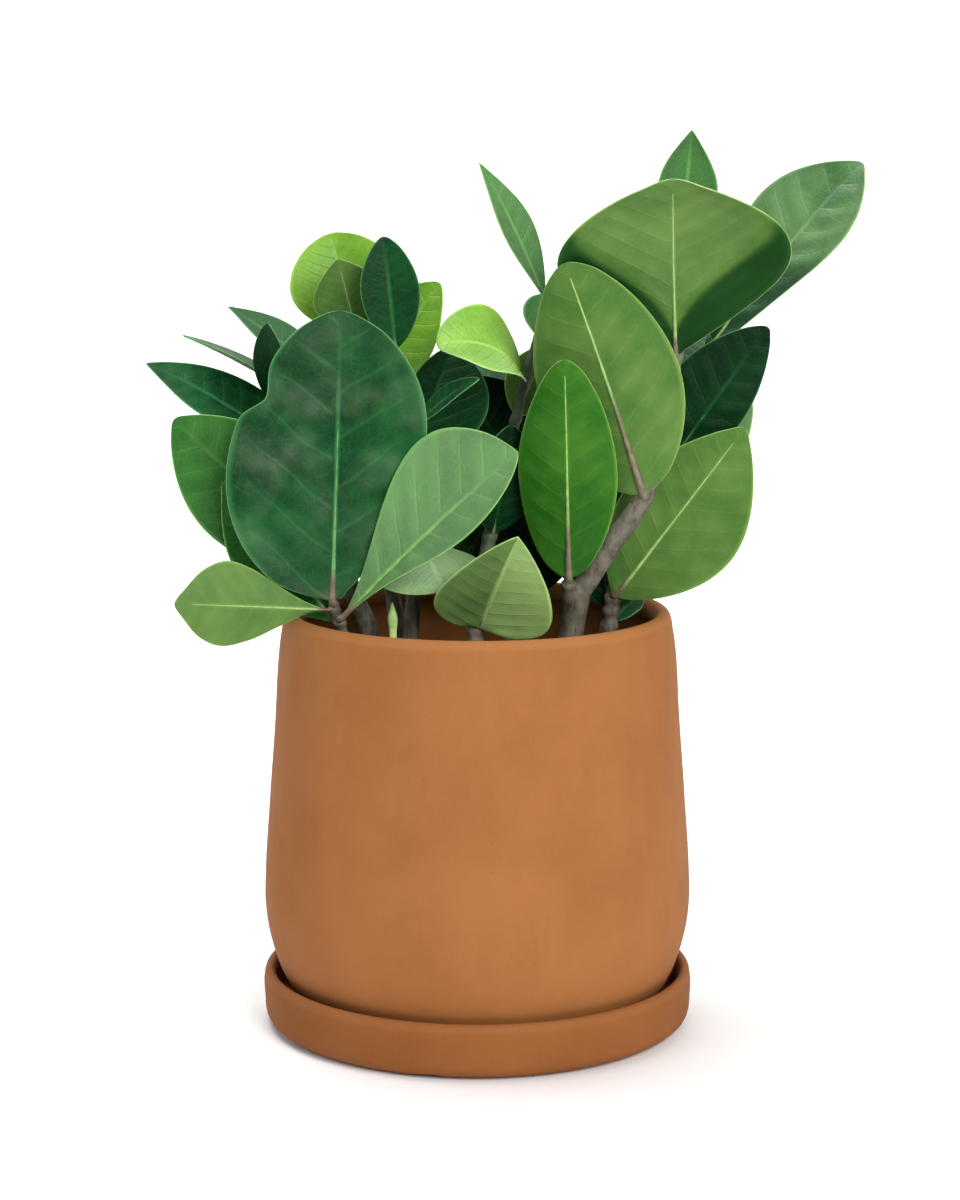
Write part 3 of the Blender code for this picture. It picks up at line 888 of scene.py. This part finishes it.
UNDER = Side.UNDER
PLANS = {
    "leaf_front_big": LeafPlan(pucker=2.1, quilt=1.1, wave=0.6, tone=0.2, notch=0.2, point=0.0,
                               veins=6.3),
    "leaf_front_long": LeafPlan(tone=0.7, pucker=0.35, point=0.8),
    "leaf_low_curl": LeafPlan(point=0.2),
    "leaf_low_left": LeafPlan(UNDER, tone=0.25, point=0.3, pucker=0.6),
    "leaf_left": LeafPlan(tone=0.1, pucker=0.5, point=0.1),
    "leaf_left_dark": LeafPlan(pucker=0.5, quilt=0.3),
    "leaf_left_spear": LeafPlan(tone=0.5, point=1.0, wave=0.2),
    "leaf_left_upper_spear": LeafPlan(tone=0.4, point=1.0, wave=0.2),
    "leaf_left_narrow": LeafPlan(tone=-0.8),
    "leaf_lime": LeafPlan(point=0.0),
    "leaf_lime_right": LeafPlan(tone=-0.25, point=0.2),
    "leaf_grey": LeafPlan(UNDER, tone=-0.15, point=0.9, quilt=0.1),
    "leaf_top_dark": LeafPlan(tone=-0.6, point=0.1),
    "leaf_middle_lime": LeafPlan(tone=0.35, point=0.0, wave=0.8),
    "leaf_middle_fold": LeafPlan(UNDER, tone=1.9, point=1.0, split=1.5, wave=0.2),
    "leaf_middle_drop": LeafPlan(tone=1.0, point=0.6),
    "leaf_middle_pale": LeafPlan(UNDER, tone=0.1),
    "leaf_middle_arc": LeafPlan(tone=-0.2),
    "leaf_middle_back": LeafPlan(tone=-0.75, point=0.3),
    "leaf_middle_tall": LeafPlan(tone=-1.3),
    "leaf_middle_high": LeafPlan(tone=-1.3),
    "leaf_middle_shade": LeafPlan(tone=-1.5),
    "leaf_middle_shade_low": LeafPlan(tone=-1.5),
    "leaf_spear": LeafPlan(tone=0.55, point=1.0, wave=0.3),
    "leaf_right_crown": LeafPlan(UNDER, tone=0.25, point=0.0, wave=0.9, rib=1.1, shade=0.1,
                                 slant=0.68),
    "leaf_right_front": LeafPlan(UNDER, tone=-0.1, point=0.0, rib=1.5, wood=0.45, wave=0.9, pucker=0.6),
    "leaf_fork": LeafPlan(UNDER, tone=-0.1, point=0.1, rib=1.35, wood=0.25, wave=0.8),
    "leaf_right_top": LeafPlan(tone=0.3, point=1.0, quilt=0.4),
    "leaf_right_high": LeafPlan(tone=-0.35, point=0.1, pucker=0.6, quilt=0.4, shade=0.46,
                                slant=0.1, grow=1.15),
    "leaf_right_dark": LeafPlan(tone=-1.1, point=0.1, pucker=0.5, quilt=0.3),
    "leaf_right_low": LeafPlan(UNDER, tone=-0.1, point=0.1, rib=1.1),
    "leaf_right_edge": LeafPlan(tone=0.4),
    "leaf_right_shade": LeafPlan(tone=-1.0, grow=1.15),
}


@dataclass
class Stock:
    """One woody stem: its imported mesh, refined, with a swelling wherever a leaf leaves it."""

    node: str
    voxel: float = 0.75
    smoothing: int = 6
    swell: float = 0.22
    ridge: float = 0.22
    lumps: float = 0.3
    scar: float = 0.42
    scar_reach: float = 9.0
    knots: list[np.ndarray] = field(default_factory=list)

    def __post_init__(self) -> None:
        """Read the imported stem."""
        self.corners, self.faces = millimetres(self.node)
        self.tree = BVHTree.FromPolygons([Vector(corner) for corner in self.corners], self.faces)

    def nearest(self, place: np.ndarray) -> tuple[np.ndarray, float]:
        """Return the stem's surface point nearest to a place, and how far it is."""
        spot, _, _, distance = self.tree.find_nearest(Vector(place))
        return np.array(spot), distance

    def build(self, bark: bpy.types.Material) -> None:
        """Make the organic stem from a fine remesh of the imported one.

        Args:
            bark: Finish of the stem.
        """
        rough = make_piece(f"{self.node}_rough", self.corners, self.faces, [bark])
        remesh = rough.modifiers.new("fine", "REMESH")
        remesh.mode = "VOXEL"
        remesh.voxel_size = self.voxel * MM
        graph = bpy.context.evaluated_depsgraph_get()
        fine = bpy.data.meshes.new_from_object(rough.evaluated_get(graph))
        bpy.data.objects.remove(rough)
        body = bmesh.new()
        body.from_mesh(fine)
        for _ in range(self.smoothing):
            bmesh.ops.smooth_vert(body, verts=body.verts, factor=0.5, use_axis_x=True,
                                  use_axis_y=True, use_axis_z=True)
        body.normal_update()
        places = np.array([vert.co for vert in body.verts]) / MM
        ways = np.array([vert.normal for vert in body.verts])
        faces = [[vert.index for vert in face.verts] for face in body.faces]
        body.free()
        bpy.data.meshes.remove(fine)
        # Lengthwise ridges and soft lumps, then a ring and a furrow under each leaf's stalk.
        lift = self.swell + self.ridge * noise_at(places * (1.0, 1.0, 0.14), 1.7, 2.0)
        lift += self.lumps * noise_at(places, 7.0, 5.5)
        for knot in self.knots:
            away = np.linalg.norm(places - knot, axis=1)
            ring = np.abs(places[:, 2] - knot[2] + 1.2)
            near = np.exp(-(away / self.scar_reach) ** 2)
            lift += near * self.scar * (np.exp(-(ring / 1.5) ** 2)
                                        - 0.55 * np.exp(-((ring - 2.2) / 0.8) ** 2))
        piece = make_piece(f"{self.node}_wood", places + ways * lift[:, None], faces, [bark])
        mount_piece(piece, "stem", self.node)


@dataclass
class Leaf:
    """One leaf rebuilt finely round its packed blade, with its stalk and midrib."""

    node: str
    plan: LeafPlan
    tone: Tone
    number: int
    cell: float = 1.25
    thick: float = 0.72
    rim_thick: float = 0.42
    ring: int = 8                              # corners of each packed ring round the blade
    stalk_sides: int = 10
    most_rings: int = 40
    lengthwise: tuple[int, int] = (18, 84)     # fewest and most steps along the blade
    halfwise: tuple[int, int] = (5, 27)        # fewest and most steps from midrib to edge
    vein_gap: tuple[float, float] = (3.2, 16.0)
    full_width: float = 30.0                   # from this width on, lumps have their full height
    notch_at: float = 0.7
    groove: float = 0.34
    vein_sink: float = 0.16
    rim_out: float = 0.22

    def read(self, stocks: Sequence[Stock]) -> None:
        """Read the blade's rows of five places and find the stem that it grows on.

        Args:
            stocks: All the stems.
        """
        corners, faces = millimetres(self.node)
        links: list[set[int]] = [set() for _ in corners]
        for face in faces:
            for first, second in zip(face, face[1:] + face[:1]):
                links[first].add(second)
                links[second].add(first)
        ends = []
        for index in range(len(corners)):
            layers = self.layers(links, index)
            if len(layers[-1]) == 1 and all(len(layer) == self.ring for layer in layers[1:-1]):
                stock = min(stocks, key=lambda item: item.nearest(corners[index])[1])
                ends.append((stock.nearest(corners[index])[1], index, stock, layers))
        # Of the blade's two ends, the one nearer to a stem is its base.
        _, index, stock, layers = min(ends, key=lambda end: end[0])
        self.root = stock.nearest(corners[index])[0]
        stock.knots.append(self.root)
        rows, ways = [], []
        aside = None
        for layer in layers:
            ring = corners[sorted(layer)]
            if len(ring) == 1:
                rows.append(np.repeat(ring, 5, axis=0))
                continue
            # The two corners farthest apart are the edges; the others lie in pairs between.
            gaps = np.linalg.norm(ring[:, None] - ring[None], axis=-1)
            first, second = np.unravel_index(np.argmax(gaps), gaps.shape)
            across = ring[second] - ring[first]
            if aside is not None and np.dot(across, aside) < 0.0:
                across = -across
            aside = across
            ring = ring[np.argsort(ring @ across)]
            rows.append(np.array([ring[0], ring[1:3].mean(0), ring[3:5].mean(0),
                                  ring[5:7].mean(0), ring[7]]))
            way = ring[4] - ring[3]
            if ways and np.dot(way, ways[-1]) < 0.0:
                way = -way
            ways.append(way / np.linalg.norm(way))
        self.rows = np.array(rows)
        facing = np.mean(ways, axis=0)
        if np.dot(facing, FRONT_AND_ABOVE) * self.plan.shows.value < 0.0:
            facing = -facing
        self.facing = facing
        # The five columns run from left to right.
        if self.rows[:, 0, 0].mean() > self.rows[:, 4, 0].mean():
            self.rows = self.rows[:, ::-1]

    @staticmethod
    def layers(links: Sequence[set[int]], start: int) -> list[set[int]]:
        """Group corners by how many edges away from a start corner they are.

        Args:
            links: The neighbours of each corner.
            start: Number of the start corner.

        Returns:
            The corners' numbers, ring by ring.
        """
        seen = {start}
        rings = [{start}]
        while True:
            ring = {other for index in rings[-1] for other in links[index]} - seen
            if not ring:
                return rings
            seen |= ring
            rings.append(ring)

    def surface(self) -> None:
        """Lay a fine grid of places over the blade's middle surface, with its directions."""
        rows = self.rows
        last = len(rows) - 1
        length = float(np.linalg.norm(np.diff(rows[:, 2], axis=0), axis=1).sum())
        width = float(np.linalg.norm(rows[:, 4] - rows[:, 0], axis=1).max())
        self.length, self.width = length, width
        count_along = int(np.clip(length / self.cell, *self.lengthwise))
        half = int(np.clip(width / self.cell / 2.0, *self.halfwise))
        before = rows[1, ::-1]
        after = (1.0 - self.plan.point) * rows[-2, ::-1]
        after = after + self.plan.point * (2.0 * rows[-1] - rows[-2])
        spots = np.linspace(0.0, last, count_along + 1)[1:-1]
        lines = through(rows, spots, before, after)
        self.across = np.linspace(-1.0, 1.0, 2 * half + 1)
        share = np.abs(self.across)[None, :, None]
        right = (self.across >= 0.0)[None, :, None]
        halfway = np.where(right, lines[:, 3:4], lines[:, 1:2])
        edge = np.where(right, lines[:, 4:5], lines[:, 0:1])
        # Each half follows a parabola through the midrib, the line half way out and the edge.
        grid = (2.0 * (share - 0.5) * (share - 1.0) * lines[:, 2:3]
                - 4.0 * share * (share - 1.0) * halfway + 2.0 * share * (share - 0.5) * edge)
        middle = grid[:, half]
        grid = middle[:, None] + (grid - middle[:, None]) * self.plan.grow
        whole = np.concatenate([rows[:1, 2], middle, rows[-1:, 2]])
        steps = np.concatenate([[0.0], np.cumsum(np.linalg.norm(np.diff(whole, axis=0), axis=1))])
        self.share = steps[1:-1] / steps[-1]
        if self.plan.notch:
            # A short drop below the notch and a longer rise above it, on the left edge only.
            above = self.share - self.notch_at
            bite = self.plan.notch * np.exp(-(above / np.where(above > 0.0, 0.1, 0.04)) ** 2)
            pull = bite[:, None, None] * np.where(right, 0.0, share ** 3)
            grid = grid + (grid[:, half:half + 1] - grid) * pull
        self.grid = grid
        self.half = half
        self.base, self.tip = rows[0, 2], rows[-1, 2]
        along = np.gradient(grid, axis=0)
        aside = np.gradient(grid, axis=1)
        ways = np.cross(along, aside)
        ways /= np.linalg.norm(ways, axis=-1, keepdims=True) + 1e-12
        if np.sum(ways[:, half] @ self.facing) < 0.0:
            ways = -ways
        self.ways = ways
        self.lateral = np.linalg.norm(grid - grid[:, half:half + 1], axis=-1) * np.sign(self.across)

    def vein_phase(self) -> np.ndarray:
        """Count the side veins between the base and each place of the grid.

        Returns:
            The count with its fraction, over the grid.
        """
        spacing = float(np.clip(self.length / self.plan.veins, *self.vein_gap))
        away = np.abs(self.lateral)
        shift = np.where(self.lateral < 0.0, 0.45, 0.0)
        reach = self.share[:, None] * self.length - 0.55 * away - 0.008 * away ** 2
        reach = reach + 0.12 * spacing * noise_at(self.grid, 16.0, self.number * 2.3)
        return reach / spacing + shift + 20.0

    def build(self, finishes: dict[str, bpy.types.Material]) -> None:
        """Make the leaf's blade, stalk and midrib as one piece.

        Args:
            finishes: Finishes by name.
        """
        self.surface()
        plan, grid, ways = self.plan, self.grid, self.ways
        phase = self.vein_phase()
        edge = np.abs(self.across)[None, :] * np.ones_like(phase)
        along = self.share[:, None] * np.ones_like(phase)
        body = np.sin(math.pi * np.clip(along, 0.0, 1.0)) ** 0.6
        sizes = min(1.0, self.width / self.full_width)
        # Lumps between the veins, a rise between each two side veins, and wavy edges.
        lumps = noise_at(grid, 10.0 + 0.06 * self.length, self.number * 1.7)
        lumps = lumps + 0.45 * noise_at(grid, 5.5, self.number)
        lift = plan.pucker * lumps * (1.0 - edge ** 4) * body * sizes
        lift += plan.quilt * np.cos(2.0 * math.pi * (phase - 0.08)) * 4.0 * edge * (1.0 - edge) \
            * body * sizes
        swing = 2.0 * math.pi * (1.6 * along + 0.37 * self.number) + np.sign(self.across) * 0.9
        lift += plan.wave * edge ** 3 * np.sin(swing) * body * sizes
        # The groove over the midrib, the furrows over the side veins and the blade's thickness.
        groove = self.groove * np.exp(-self.lateral ** 2) * smooth_step(1.0 - along, 0.0, 0.5)
        turn = np.abs(phase - 0.08 - np.floor(phase - 0.08) - 0.5)
        veins = np.exp(-(turn / 0.11) ** 2) * (1.0 - edge ** 3) * body
        sheet = 0.5 * (self.thick + (self.rim_thick - self.thick) * edge ** 2)
        upper = grid + ways * (lift + sheet - groove - self.vein_sink * veins * sizes)[..., None]
        under = grid + ways * (lift - sheet - 0.1 * veins * sizes)[..., None]
        self.middle = grid[:, self.half] + ways[:, self.half] * lift[:, self.half][:, None]
        aside = np.gradient(grid, axis=1)
        aside /= np.linalg.norm(aside, axis=-1, keepdims=True) + 1e-12
        rims = []
        for column, out in ((0, -1.0), (-1, 1.0)):
            rims.append(grid[:, column] + ways[:, column] * lift[:, column][:, None]
                        + aside[:, column] * (self.rim_out * out))
        # Painted highlight: on strongly puckered blades the raised lumps are coloured paler.
        self.pucker_highlight = 0.2 * plan.pucker * lumps * body * (plan.pucker > 0.9)
        corners, faces, choice, veins_at, blade_at = self.stitch(upper, under, rims, phase, along)
        stalk = self.stalk()
        start = len(corners)
        corners = np.concatenate([corners, stalk[0]])
        faces += [[index + start for index in face] for face in stalk[1]]
        choice += [3] * len(stalk[1])
        materials = [finishes[f"upper_{self.tone.value}"], finishes[f"under_{self.tone.value}"],
                     finishes[f"rim_{self.tone.value}"], finishes[f"rib_{self.tone.value}"]]
        piece = make_piece(f"{self.node}_blade", corners, faces, materials, choice)
        store(piece, "veins", np.concatenate([veins_at, stalk[2]]))
        store(piece, "blade", np.concatenate([blade_at, stalk[3]]))
        mount_piece(piece, self.tone.value, self.node)

    def stitch(self, upper: np.ndarray, under: np.ndarray, rims: Sequence[np.ndarray],
               phase: np.ndarray, along: np.ndarray) -> tuple:
        """Join the two sheets of the blade and its rims into one closed skin.

        Args:
            upper: Grid of the upper side.
            under: Grid of the underside.
            rims: The outermost lines on the left and on the right.
            phase: Vein phase over the grid.
            along: Share of the length over the grid.

        Returns:
            Corners, faces, the finish number of each face, and both attributes' values.
        """
        rows, columns = phase.shape
        edge = np.abs(self.across)[None, :] * np.ones_like(phase)
        # Painted light and shade: the leaf's tone, a painted shade over the left half, and a painted
        # highlight on the puckers.
        dim = self.plan.tone - self.plan.split * (self.across < 0.0)[None, :] * (edge > 0.0)
        dim = dim + self.pucker_highlight
        # Painted shade: deep green from the base, reaching further along the edges.
        if self.plan.shade:
            reach = along - self.plan.slant * edge
            deep = 1.0 - smooth_step(reach, self.plan.shade - 0.08, self.plan.shade + 0.08)
            dim = dim - (1.4 + self.plan.tone) * deep
        brown = 0.7 * smooth_step(0.05 - along, 0.0, 0.05) * (1.0 - edge) ** 2
        veins_at = np.stack([phase, self.lateral, along], axis=-1)
        blade_at = np.stack([edge, dim, brown], axis=-1)
        tone, half = self.plan.tone, self.half
        layers = [(rims[0], upper, rims[1], under, [self.base, self.tip])]
        for values, poles in (
                (veins_at, [[phase[0, half], 0.0, 0.0], [phase[-1, half], 0.0, 1.0]]),
                (blade_at, [[0.5, tone, 0.8], [0.9, tone, 0.0]])):
            layers.append((values[:, 0], values, values[:, -1], values, poles))
        skins = []
        for left, over, right, below, poles in layers:
            ring = [left[:, None], over, right[:, None], below[:, ::-1]]
            skins.append(np.concatenate([np.concatenate(ring, axis=1).reshape(-1, 3), poles]))
        numbers = np.arange(rows * (2 * columns + 2)).reshape(rows, -1).tolist()
        faces = bands([[len(skins[0]) - 2], *numbers, [len(skins[0]) - 1]])
        sheet = columns - 1
        choice = ([2] + [0] * sheet + [2, 2] + [1] * sheet + [2]) * (rows + 1)
        return skins[0], faces, choice, skins[1], skins[2]

    def stalk(self) -> tuple:
        """Shape the stalk and the raised midrib.

        Returns:
            Corners, faces, and both attributes' values.
        """
        plan = self.plan
        scale = float(np.clip(self.length / 75.0, 0.45, 1.25)) * plan.rib
        into = self.root - self.base
        into = into / (np.linalg.norm(into) + 1e-9)
        root = self.root + into * 0.9
        keep = self.share < 0.95
        shares = self.share[keep]
        radii = scale * (0.12 + 0.36 * (1.0 - shares) + 0.55 * (1.0 - shares) ** 6)
        drop = smooth_step(shares, 0.0, 0.1) * (0.5 * self.thick - 0.05)
        drop = drop * smooth_step(0.99 - shares, 0.0, 0.12)
        line = self.middle[keep] - self.ways[keep, self.half] * drop[:, None]
        path = np.concatenate([[root, 0.45 * root + 0.55 * self.base], line])
        radii = np.concatenate([[1.45 * scale + 0.25, 1.2 * scale + 0.1], radii])
        shares = np.concatenate([[-0.06, -0.03], shares])
        step = 2 if len(path) > self.most_rings else 1
        path, radii, shares = path[::step], radii[::step], shares[::step]
        corners, faces = tube(path, radii, self.stalk_sides)
        along = np.repeat(shares, self.stalk_sides)
        brown = smooth_step(-along, -plan.wood - 0.12, -plan.wood * 0.4 + 0.02)
        veins_at = np.stack([np.zeros_like(along), np.zeros_like(along), along], -1)
        blade_at = np.stack([np.zeros_like(along), np.full_like(along, plan.tone), brown], -1)
        return corners, faces, veins_at, blade_at


@dataclass
class Foliage:
    """All the stems, leaves and the young bud of the plant."""

    woody: BarkFinish = BarkFinish()
    # The inner stems' top colour is a painted deep shade, from 138 mm up.
    young_and_shaded: BarkFinish = BarkFinish("stem_shaded", young_and_shaded=(0.03, 0.07, 0.022), young_and_shaded_from=138.0,
                                   young_and_shaded_to=172.0)
    woody_stem: str = "stem_right"
    bud_sides: int = 24

    def finishes(self) -> dict[str, bpy.types.Material]:
        """Make the leaf finishes of every tone.

        Returns:
            The materials by name.
        """
        found = {}
        for tone in Tone:
            found[f"upper_{tone.value}"] = UPPER_FINISHES[tone].material()
            found[f"under_{tone.value}"] = UNDER_FINISHES[tone].material()
            rim = RIM_COLOURS[tone]
            found[f"rim_{tone.value}"] = RibFinish(f"rim_{tone.value}", rim, rim).material()
            found[f"rib_{tone.value}"] = RibFinish(f"rib_{tone.value}", rim).material()
        return found

    def build(self) -> None:
        """Build the leaves, then the stems with the scars of their leaves, then the bud."""
        slots = {entry["node"]: entry["material_slot"] for entry in frame["record"]["subparts"]}
        names = sorted(frame["nodes"])
        stocks = [Stock(name) for name in names if name.startswith("stem_")]
        finishes = self.finishes()
        leaf_names = [name for name in names if name.startswith("leaf_")]
        for number, name in enumerate(leaf_names):
            leaf = Leaf(name, PLANS.get(name, LeafPlan()), Tone(slots[name]), number)
            leaf.read(stocks)
            leaf.build(finishes)
        woody, young_and_shaded = self.woody.material(), self.young_and_shaded.material()
        for stock in stocks:
            stock.build(woody if stock.node == self.woody_stem else young_and_shaded)
        self.build_bud(finishes["rib_leaf_lime"])

    def build_bud(self, finish: bpy.types.Material) -> None:
        """Make the rolled young shoot that stands beside the stems.

        Args:
            finish: Finish of the bud.
        """
        low, high = (np.array(corner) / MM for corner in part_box("bud"))
        middle = (low + high) / 2.0
        radius = (high[0] - low[0]) / 2.0
        heights = np.linspace(0.0, 1.0, 40)
        path = np.stack([middle[0] + 0.7 * (0.5 - heights) * heights,
                         middle[1] + 0.5 * (0.5 - heights) * heights,
                         low[2] + (high[2] - low[2]) * heights], -1)
        swell = 0.72 + 0.28 * np.exp(-((heights - 0.9) / 0.05) ** 2)
        taper = np.sqrt(np.clip((1.0 - heights) / 0.09, 0.02, 1.0))
        corners, faces = tube(path, radius * swell * taper, self.bud_sides)
        turn = np.arctan2(corners[:, 1] - middle[1], corners[:, 0] - middle[0])
        fold = 1.0 - 0.12 * np.cos(turn + corners[:, 2] * 0.12) ** 8
        centre = np.repeat(path, self.bud_sides, axis=0)
        corners = centre + (corners - centre) * fold[:, None]
        piece = make_piece("bud_shoot", corners, faces, [finish])
        store(piece, "blade", np.zeros_like(corners))
        mount_piece(piece, "leaf_lime", "bud")


# ---------------------------------------------------------------- studio


@dataclass(frozen=True)
class SoftLight:
    """A square soft light, in metres and watts."""

    name: str
    place: tuple[float, float, float]
    size: float
    power: float
    colour: Colour = (1.0, 1.0, 1.0)
    target: tuple[float, float, float] = (0.0, 0.0, 0.14)


LIGHTS = (
    SoftLight("key", (0.8, -1.45, 1.0), 0.9, 30.0, (1.0, 0.985, 0.96)),
    SoftLight("fill", (-1.3, -0.9, 0.9), 1.0, 5.0, (0.96, 0.98, 1.0)),
    SoftLight("top", (-0.35, 0.2, 1.7), 0.9, 14.0),
    SoftLight("backdrop", (0.0, 1.2, 2.4), 2.0, 95.0, (1.0, 1.0, 1.0), (0.0, 3.3, 0.9)),
)


@dataclass
class Studio:
    """The pale floor, the soft lights and the camera, in metres."""

    floor_half: float = 4.0
    sweep_from: float = 2.2
    sweep_radius: float = 1.2
    wall_height: float = 3.2
    camera_place: tuple[float, float, float] = (0.0, -0.95, 0.304)
    camera_down: float = 9.3
    camera_lens: float = 83.4
    camera_shift: float = 0.00217
    floor_colours: tuple[Colour, Colour] = ((0.94, 0.94, 0.94), (0.96, 0.96, 0.96))
    floor_roughness: float = 0.85
    floor_specular: float = 0.1
    world_colour: Colour = (0.95, 0.97, 1.0)
    world_strength: float = 0.34

    def build(self) -> None:
        """Make the floor, the world, the lights and the camera."""
        bpy.context.scene.view_settings.view_transform = "Standard"
        self.build_floor()
        self.build_world()
        for light in LIGHTS:
            self.add_light(light)
        lens = bpy.data.cameras.new("camera")
        lens.lens = self.camera_lens
        lens.shift_x = self.camera_shift
        camera = bpy.data.objects.new("camera", lens)
        camera.location = self.camera_place
        camera.rotation_euler = (math.radians(90.0 - self.camera_down), 0.0, 0.0)
        bpy.context.scene.collection.objects.link(camera)
        bpy.context.scene.camera = camera

    def build_floor(self) -> None:
        """Make the pale floor that sweeps up into a backdrop."""
        line = [(-self.floor_half, 0.0), (self.sweep_from, 0.0)]
        for step in range(1, 25):
            turn = math.pi / 2.0 * step / 24
            line.append((self.sweep_from + self.sweep_radius * math.sin(turn),
                         self.sweep_radius * (1.0 - math.cos(turn))))
        line.append((self.sweep_from + self.sweep_radius, self.wall_height))
        corners = [(side * self.floor_half, y, z - 0.0003) for y, z in line for side in (-1, 1)]
        faces = [[2 * row, 2 * row + 1, 2 * row + 3, 2 * row + 2] for row in range(len(line) - 1)]
        nodes = Nodes("pale_floor")
        clouds = nodes.clouds(nodes.places(), 3.0, 2.0)
        colour = nodes.blend(nodes.span(clouds, 0.3, 0.7), *self.floor_colours)
        nodes.dress(colour, self.floor_roughness, self.floor_specular)
        floor = make_piece("floor", np.array(corners) / MM, faces, [nodes.material])

    def build_world(self) -> None:
        """Surround the scene with even pale light."""
        world = bpy.data.worlds.new("pale_room")
        world.use_nodes = True
        background = world.node_tree.nodes["Background"]
        background.inputs["Color"].default_value = (*self.world_colour, 1.0)
        background.inputs["Strength"].default_value = self.world_strength
        bpy.context.scene.world = world

    @staticmethod
    def add_light(light: SoftLight) -> None:
        """Hang one square soft light.

        Args:
            light: The light to hang.
        """
        lamp = bpy.data.lights.new(light.name, "AREA")
        lamp.size = light.size
        lamp.energy = light.power
        lamp.color = light.colour
        holder = bpy.data.objects.new(light.name, lamp)
        holder.location = light.place
        way = Vector(light.target) - Vector(light.place)
        holder.rotation_euler = way.to_track_quat("-Z", "Y").to_euler()
        bpy.context.scene.collection.objects.link(holder)


NICK_AT = (-17.0, -73.5)         # the nick in the saucer's lower front edge, in millimetres
POT_CLAY = ClayFinish("pot_terracotta", body=(0.335, 0.127, 0.037), dark=(0.29, 0.106, 0.03),
                      light=(0.395, 0.163, 0.056), rim_height=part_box("pot")[1].z / MM)
SAUCER_CLAY = ClayFinish("saucer_terracotta", body=(0.262, 0.092, 0.024), dark=(0.228, 0.078, 0.019),
                         light=(0.315, 0.118, 0.038), rim_height=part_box("saucer")[1].z / MM)


def main() -> None:
    """Build every piece in order, then the studio."""
    logging.basicConfig(level=logging.INFO, format="%(name)s %(message)s")
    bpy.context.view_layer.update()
    TurnedClay("saucer", SAUCER_CLAY, nick_at=NICK_AT).build()
    pot = TurnedClay("pot", POT_CLAY)
    pot.build()
    SoilBed(pot.fine_outline()).build()
    Foliage().build()
    Studio().build()


if __name__ == "__main__":
    main()
